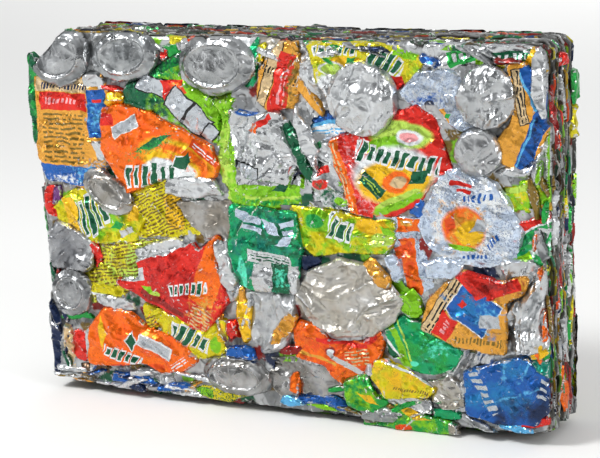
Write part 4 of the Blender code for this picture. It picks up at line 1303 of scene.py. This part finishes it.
# The round of a folded edge: share of its thickness, how far it falls away there, and its wear
STRAND_FALL = 2.6
STRAND_ROUND = ((0.0, STRAND_FALL, 0.1), (0.35, 0.2, 0.5), (0.7, 0.3, 0.1))

# Heights and sizes of the ripples along an edge: facets, fine facets and soft waves
FOLD_RIPPLE, FOLD_RIPPLE_SIZE = 0.9, 9.0
FINE_RIPPLE, FINE_RIPPLE_SIZE = 0.6, 4.6
SOFT_RIPPLE, SOFT_RIPPLE_SIZE = 0.9, 26.0

# How the layers wave together: height, the depth in which the wave changes, and size along the rim
SWAYS = ((3.4, 3.0, 40.0), (2.0, 1.5, 17.0), (1.3, 0.2, 14.0), (0.5, 0.2, 7.0))

# How far the strands stand back from the solid's rim, and past its front and back
RIM_BACK = 0.6
RIM_OVERLAP = 0.3

# How strongly painted shade darkens the strands where they fall back between each other, and how much more
# painted shade darkens the top
STRAND_SHADE = 0.9
TOP_SHADE = 0.35


def resample(outline, step):
    """Points every step along a closed outline, with the way outward at each."""
    closed = np.vstack([outline, outline[:1]])
    lengths = np.sqrt((np.diff(closed, axis=0) ** 2).sum(1))
    reach = np.concatenate([[0], np.cumsum(lengths)])
    count = int(reach[-1] / step)
    s = np.arange(count) * reach[-1] / count
    points = np.stack([np.interp(s, reach, closed[:, 0]), np.interp(s, reach, closed[:, 1])], 1)
    along = np.roll(points, -3, axis=0) - np.roll(points, 3, axis=0)
    along /= np.maximum(np.sqrt((along ** 2).sum(1)), 1e-6)[:, None]
    return s, points, np.stack([along[:, 1], -along[:, 0]], 1)


def strand_marks(chance, count, step, length):
    """Along one folded edge: how far it stands out, and its ink, can after can."""
    out_by = np.zeros(count)
    ink = np.zeros((count, 4))
    place = -chance.uniform(0, BARE_LENGTHS[1])
    while place < length:
        printed = chance.random() < PRINTED_EDGES
        can = chance.uniform(*(PRINTED_LENGTHS if printed else BARE_LENGTHS))
        first, last = max(0, int(place / step)), min(count, int((place + can) / step))
        out_by[first:last] = chance.uniform(*STRAND_OUT)
        shade = chance.uniform(*STRAND_SHADES)
        code = INK[chance.choice(EDGE_INKS)] if printed else chance.choice(EDGE_METALS)
        ink[first:last] = np.array(linear(code)) * (shade, shade, shade, 1)
        out_by[max(0, last - 1):last] -= STRAND_NOTCH
        place += can
    return out_by, ink


def make_layer_rim(name, seed):
    """A pressed layer's rim: strands of folded sheet that run round it, waving as one."""
    low, high = (c.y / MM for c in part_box(name))
    outline = cap_outlines(name, -1)[0]
    x, z = outline.T
    area = 0.5 * np.sum(x * np.roll(z, -1) - np.roll(x, -1) * z)
    if area < 0:
        outline = outline[::-1]
    s, base, outward = resample(outline, EDGE_STEP)
    count = len(s)
    flat = np.zeros(count)
    chance = random.Random(seed)
    edges = [low - RIM_OVERLAP]
    while edges[-1] < high - LAST_STRAND:
        edges.append(edges[-1] + chance.uniform(*STRAND_THICKNESS))
    edges[-1] = high + RIM_OVERLAP
    # Each row of points: its depth y, how far out it stands, its inks, its wear and its painted shade
    rows = []
    for first, last in zip(edges, edges[1:]):
        out_by, ink = strand_marks(chance, count, EDGE_STEP, s[-1])
        ripple = (FOLD_RIPPLE * facets(s, flat + first * 7, FOLD_RIPPLE_SIZE, seed)
                  + FINE_RIPPLE * facets(s, flat + first, FINE_RIPPLE_SIZE, seed + 3)
                  + SOFT_RIPPLE * swell(s, flat + first * 3, SOFT_RIPPLE_SIZE, seed + 4))
        for share, fall, wear in STRAND_ROUND:
            # Painted shade: darker where the strand falls back, and darker still on the top
            strand_shade = np.clip(fall / STRAND_FALL + TOP_SHADE * np.clip(outward[:, 1], 0, 1), 0, 1)
            rows.append((first + share * (last - first), out_by + ripple - fall, ink, flat + wear, strand_shade))
    rows.append((edges[-1], out_by - STRAND_FALL, ink, flat, flat + 1.0))
    places = []
    for y, out_by, *_ in rows:
        sway = sum(height * swell(s, flat + y / depth, size, 11 + number)
                   for number, (height, depth, size) in enumerate(SWAYS))
        spot = base + outward * (out_by - RIM_BACK)[:, None]
        places.append(np.stack([spot[:, 0], y + sway, spot[:, 1] + FACE_RAISE], 1))
    places = np.concatenate(places)
    places[:, 2] = np.maximum(places[:, 2], 0.0)
    number = np.arange(len(rows) * count).reshape(len(rows), count)
    a, b = number[:-1], number[1:]
    c, d = np.roll(b, -1, axis=1), np.roll(a, -1, axis=1)
    triangles = np.concatenate([np.stack(corners, -1).reshape(-1, 3) for corners in ((a, b, c), (a, c, d))])
    inks, folds, grime_and_shade_all = (np.concatenate(column) for column in list(zip(*rows))[2:])
    piece = make_piece(name + "_rim", places, triangles, places[:, [0, 2]], folds, grime_and_shade_all * STRAND_SHADE,
                       edge_aluminium(name), inks)
    return piece


def make_rims():
    layers = sorted(n for n in NODES if n.startswith("pressed_layer"))
    for number, name in enumerate(layers):
        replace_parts(make_layer_rim(name, 31 + 17 * number), name)


# The back: more flattened cans with everyday prints, and can ends among them


# Prints about a can's own middle, with its length upward
BACK_PRINTS = [
    ("orange", [
        ("disc", "warm_yellow", 0, 8, 64, 60, 8), ("disc", "orange", 0, 4, 52, 46, 8),
        ("leaf", "dark_green", 8, 30, 26, 14, 30), *green_strokes(0, -14, 60, 10, 4, 9),
        ("type", "brown", 0, -42, 50, 14, 0, 4)]),
    ("lime", [
        ("box", "dark_green", -10, 34, 60, 22, 14), ("box", "white", 8, 8, 34, 14, -30),
        ("leaf", "red", 0, 26, 30, 20, 20), ("type", "dark_green", 0, -30, 50, 20, 0, 5)]),
    ("yellow", [
        ("type", "brown", 0, 18, 60, 50, 4, 4.5), ("box", "lime", 0, -24, 80, 14, -4),
        ("disc", "warm_yellow", 0, -42, 40, 20, 0)]),
    ("amber", [
        ("box", "red", 0, 40, 70, 16, 0), ("type", "brown", 0, 8, 60, 40, 0, 5.5),
        ("box", "blue", 0, -34, 74, 22, 0), ("type", "sky", 0, -34, 52, 10, 0, 5)]),
    ("ice", [
        ("specks", "sky", 0, 0, 90, 110, 10, 2.8), ("disc", "orange", 4, -6, 36, 36, 0),
        ("leaf", "red", -16, 34, 20, 16, 20), ("bars", "blue", 0, 20, 50, 12, 10, 8)]),
    ("teal", [("bars", "ice", 0, 14, 60, 26, 12, 12), ("box", "silver", 0, -26, 80, 12, -4)]),
    ("green", [
        ("leaf", "red", 8, 14, 52, 40, 20), ("leaf", "warm_yellow", 10, 12, 28, 18, 20),
        ("box", "lime", 0, -40, 80, 8, 3), ("type", "white", -6, -26, 40, 8, 0, 5)]),
    ("red", [
        ("box", "silver", -6, 36, 70, 12, 16), ("leaf", "lime", 8, 0, 36, 22, -24),
        ("type", "tan", -4, -34, 50, 16, 0, 5)]),
    ("blue", [
        ("disc", "navy", 0, -30, 70, 34, 4), ("box", "ice", -12, 16, 14, 30, 20),
        ("disc", "sky", 12, 30, 36, 14, -12)]),
    ("silver", [("box", "blue", 0, 30, 70, 16, 0), ("box", "red", 0, 12, 70, 10, 0)]),
    ("beige", []),
    ("silver", [("type", "black", 0, -10, 50, 40, 0, 5)]),
]


def placed(motifs, x, z, turn):
    """Motifs moved to a can's middle and turned with it."""
    return [(kind, ink, *turned([(u, v)], x, z, turn)[0], width, height, lean + turn, *pitch)
            for kind, ink, u, v, width, height, lean, *pitch in motifs]


# The back's cans as the solid has them: how many, how far they stray from their cells, how high the lowest
# and the highest lie, how they are turned, the outline in shares of half a can, and half sizes and dents
BACK_COLUMNS, BACK_ROWS = 8, 5
BACK_STRAY = 20
BACK_LOWEST, BACK_HIGHEST = -1.8, 1.8
BACK_TURNS = [0, 90, 20, -30, 70, -75]
BACK_TURN_STRAY = 15
FLATTENED = [(-0.8, -1), (0.8, -1), (1, -0.8), (0.92, 0), (1, 0.8), (0.75, 1), (-0.75, 1), (-1, 0.8),
             (-0.92, 0), (-1, -0.8)]
CAN_HALF_WIDTHS, CAN_HALF_LENGTHS = (26, 39), (42, 58)
DENTS_ACROSS, DENTS_ALONG = (0.85, 1.08), (0.88, 1.06)
END_HALF_WIDTHS, END_HALF_LENGTHS = (24, 33), (19, 28)
OVAL_POINTS = 16

# Every fifth can shows its end, which stands out less than its rim by this much
END_EVERY = 5
END_RIM = 2.4
BACK_END_STRENGTH = 1.1
BACK_END_SPREAD = 3.5
BACK_METALS = ("#8A8D90", "#9A958B", "#A8ABAE")


def back_cans():
    """Each can of the back, in the same order and by the same chances as the solid's own."""
    chance = random.Random(8)
    cells = [(column, row) for column in range(BACK_COLUMNS) for row in range(BACK_ROWS)]
    chance.shuffle(cells)
    for number, (column, row) in enumerate(cells):
        x = BALE_WIDTH * ((column + 0.5) / BACK_COLUMNS - 0.5) + chance.uniform(-BACK_STRAY, BACK_STRAY)
        z = BALE_HEIGHT * (row + 0.5) / BACK_ROWS + chance.uniform(-BACK_STRAY, BACK_STRAY)
        turn = chance.choice(BACK_TURNS) + chance.uniform(-BACK_TURN_STRAY, BACK_TURN_STRAY)
        is_end = number % END_EVERY == END_EVERY - 1
        if is_end:
            half_width, half_length = chance.uniform(*END_HALF_WIDTHS), chance.uniform(*END_HALF_LENGTHS)
            angles = [math.tau * i / OVAL_POINTS for i in range(OVAL_POINTS)]
            shape = [(half_width * math.cos(a), half_length * math.sin(a)) for a in angles]
        else:
            half_width, half_length = chance.uniform(*CAN_HALF_WIDTHS), chance.uniform(*CAN_HALF_LENGTHS)
            shape = [(u * half_width * chance.uniform(*DENTS_ACROSS),
                      v * half_length * chance.uniform(*DENTS_ALONG)) for u, v in FLATTENED]
        yield number, is_end, x, z, turn, np.array(turned(shape, x, z, turn)), number / (len(cells) - 1)


def make_back():
    chance = random.Random(5)
    rim = cap_outlines("pressed_layer_06", -1)[0]
    sheets, order = [], []
    for number, is_end, x, z, turn, outline, share in back_cans():
        out_by = BACK_LOWEST + share * (BACK_HIGHEST - BACK_LOWEST)
        name = f"back_can_{number + 1:02d}"
        if is_end:
            material = bare_aluminium(name, BACK_METALS[number // END_EVERY % len(BACK_METALS)])
            level = -(out_by - END_RIM) / LEVEL_PITCH
            sheet = Sheet(name, outline, level, material, turn, BACK_END_STRENGTH, 1.0, BACK_END_SPREAD)
        else:
            if not order:
                order = list(range(len(BACK_PRINTS)))
                chance.shuffle(order)
            base, motifs = BACK_PRINTS[order.pop()]
            material = lacquered_aluminium(name, base, placed(motifs, x, z, turn))
            sheet = Sheet(name, outline, -out_by / LEVEL_PITCH, material, turn + 90, SCRAP_STRENGTH,
                          spread=SCRAP_SPREAD)
        sheet.limit = rim
        sheets.append(sheet)
    for number, sheet in enumerate(sheets):
        piece = build_sheet(sheet, sheets, "back", BACK_STEP)
        if number == 0:
            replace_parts(piece, "back_layer")
    make_bed("back_bed", sheets, "back", BACK_BED_OUT)


# Folded bits that stand out of the sides: side, ink, along, up, width, height, turn, how far out
SIDE_PIECES = {
    "orange_fold_right": ("right", "orange", 4, 38, 17, 44, 4, 1.0),
    "yellow_fold_right": ("right", "yellow", 35, 280, 9, 36, 0, 1.2),
    "red_fold_right": ("right", "dark_red", -20, 292, 7, 58, 4, 0.6),
    "red_fold_corner": ("right", "red", 4, 338, 26, 12, -12, 0.6),
    "silver_fold_right_low": ("right", "silver", -24, 200, 8, 54, -3, 0.6),
    "red_fold_left": ("left", "dark_red", -26, 190, 14, 50, 0, 1.0),
    "silver_fold_left": ("left", "silver", 4, 110, 9, 60, 5, 0.6),
    "silver_fold_top": ("top", "silver", 150, -20, 70, 8, 2, 0.6),
    "green_fold_top": ("top", "green", -170, 10, 50, 9, -4, 0.4),
}
SIDE_TURN = 80
SIDE_STRENGTH = 1.2
SIDE_SPREAD = 1.0

# The flap on the right: how strongly it is crushed, and how far inside its solid's outer face it is built
FLAP_STRENGTH = 0.6
FLAP_INSET = 2


def make_side_slivers():
    chance = random.Random(12)
    for side, count, span, inks in SIDE_SLIVERS:
        for number in range(count):
            sheet = make_sliver(f"sliver_{side}_{number:02d}", chance, f"{side}_{number}", span, inks,
                                SIDE_SLIVER)
            build_sheet(sheet, [sheet], side)


def make_side_pieces():
    for name, (side, ink, *place, stand) in SIDE_PIECES.items():
        outline = scrap_outline(*place, seed=name)
        sheet = Sheet(name, outline, -stand / LEVEL_PITCH, sheet_aluminium(name, ink), SIDE_TURN,
                      SIDE_STRENGTH, spread=SIDE_SPREAD)
        build_sheet(sheet, [sheet], side)
    low, high = (np.array(v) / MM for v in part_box("flap_green_right"))
    middle, size = (low + high) / 2, high - low
    outline = scrap_outline(middle[1], middle[2] - FACE_RAISE, size[1], size[2], 0, "flap")
    level = -(high[0] - SIDE_REACH - FLAP_INSET) / LEVEL_PITCH
    material = lacquered_aluminium("flap_green_right", "green")
    sheet = Sheet("flap_green_right_sheet", outline, level, material, SIDE_TURN, FLAP_STRENGTH,
                  spread=SIDE_SPREAD, node="flap_green_right")
    build_sheet(sheet, [sheet], "right")


# The stage


# The camera stands right of the face and a little above it, as the photograph was taken
CAMERA_TURN = 26.2
CAMERA_RISE = 13.2
CAMERA_ROLL = -2.1
CAMERA_DISTANCE = 1.804
CAMERA_FIELD = 18.0
CAMERA_AIM = (-0.001, 0.05 + FACE_FRONT * MM, 0.167 + FACE_RAISE * MM)

# The lights: place and size in metres, power in watts, and what they point at
BALE_MIDDLE = (0, 0, 0.18)
BACKDROP = (0, 5.0, 0)
LIGHTS = {
    "key_light": ((-1.1, -1.3, 2.2), (0.6, 0.6), 50, BALE_MIDDLE),
    "side_light": ((2.2, -0.8, 0.9), (0.4, 1.0), 18, BALE_MIDDLE),
    "fill_light": ((-1.9, -1.7, 0.5), (0.3, 1.2), 4, BALE_MIDDLE),
    "backdrop_light": ((0, 5.0, 2.6), (6.0, 3.0), 110, BACKDROP),
}

# The floor's size in metres, and the colours of its paint and of the studio's walls
FLOOR_SIZE = 14
FLOOR_PAINT = "#EFEFED"
STUDIO_WALLS = "#F4F5F7"

# The studio's brightness: pale at the horizon, dim above it so that the metal has something dark to
# mirror, and pale overhead. Each is the height from and to, and the brightness from and to.
HORIZON_GLOW = (0.03, 0.14, 0.8, 0.0)
OVERHEAD_GLOW = (0.2, 0.9, 0.04, 0.9)


def make_camera():
    turn, rise, roll = (math.radians(a) for a in (CAMERA_TURN, CAMERA_RISE, CAMERA_ROLL))
    away = Vector((math.sin(turn) * math.cos(rise), -math.cos(turn) * math.cos(rise), math.sin(rise)))
    right = (-away).cross(Vector((0, 0, 1))).normalized()
    up = right.cross(-away)
    tilted_right = right * math.cos(roll) + up * math.sin(roll)
    tilted_up = up * math.cos(roll) - right * math.sin(roll)
    ways = Matrix((tilted_right, tilted_up, away)).transposed().to_4x4()
    camera = bpy.data.objects.new("camera", bpy.data.cameras.new("camera"))
    camera.data.sensor_fit = "HORIZONTAL"
    camera.data.angle = math.radians(CAMERA_FIELD)
    camera.matrix_world = Matrix.Translation(Vector(CAMERA_AIM) + away * CAMERA_DISTANCE) @ ways
    bpy.context.scene.collection.objects.link(camera)
    bpy.context.scene.camera = camera


def make_light(name, place, size, power, aim):
    data = bpy.data.lights.new(name, "AREA")
    data.shape = "RECTANGLE"
    data.size, data.size_y = size
    data.energy = power
    light = bpy.data.objects.new(name, data)
    way = Vector(place) - Vector(aim)
    light.matrix_world = Matrix.Translation(place) @ way.to_track_quat("Z", "Y").to_matrix().to_4x4()
    bpy.context.scene.collection.objects.link(light)


def make_stage():
    bpy.ops.mesh.primitive_plane_add(size=FLOOR_SIZE, location=(0, 0, 0))
    floor = bpy.context.object
    floor.name = "floor"
    material, add = new_material("matt_white_paint")
    add("OutputMaterial", Surface=add("BsdfPrincipled", Base_Color=linear(FLOOR_PAINT), Roughness=0.8))
    floor.data.materials.append(material)
    world = bpy.data.worlds.new("studio")
    bpy.context.scene.world = world
    world.use_nodes = True
    add = functools.partial(node, world.node_tree)
    up = add("SeparateXYZ", add("TexCoord", out="Generated"), out="Z")
    horizon = add("MapRange", up, *HORIZON_GLOW)
    overhead = add("MapRange", up, *OVERHEAD_GLOW)
    background = world.node_tree.nodes["Background"]
    background.inputs["Color"].default_value = linear(STUDIO_WALLS)
    glow = add("Math", horizon, overhead, operation="ADD")
    world.node_tree.links.new(glow, background.inputs["Strength"])
    for name, light in LIGHTS.items():
        make_light(name, *light)
    bpy.context.scene.view_settings.view_transform = "Standard"


make_camera()
make_stage()
make_bed("face_bed", make_face(), "front", FACE_BED_OUT)
make_back()
make_rims()
make_side_pieces()
make_side_slivers()
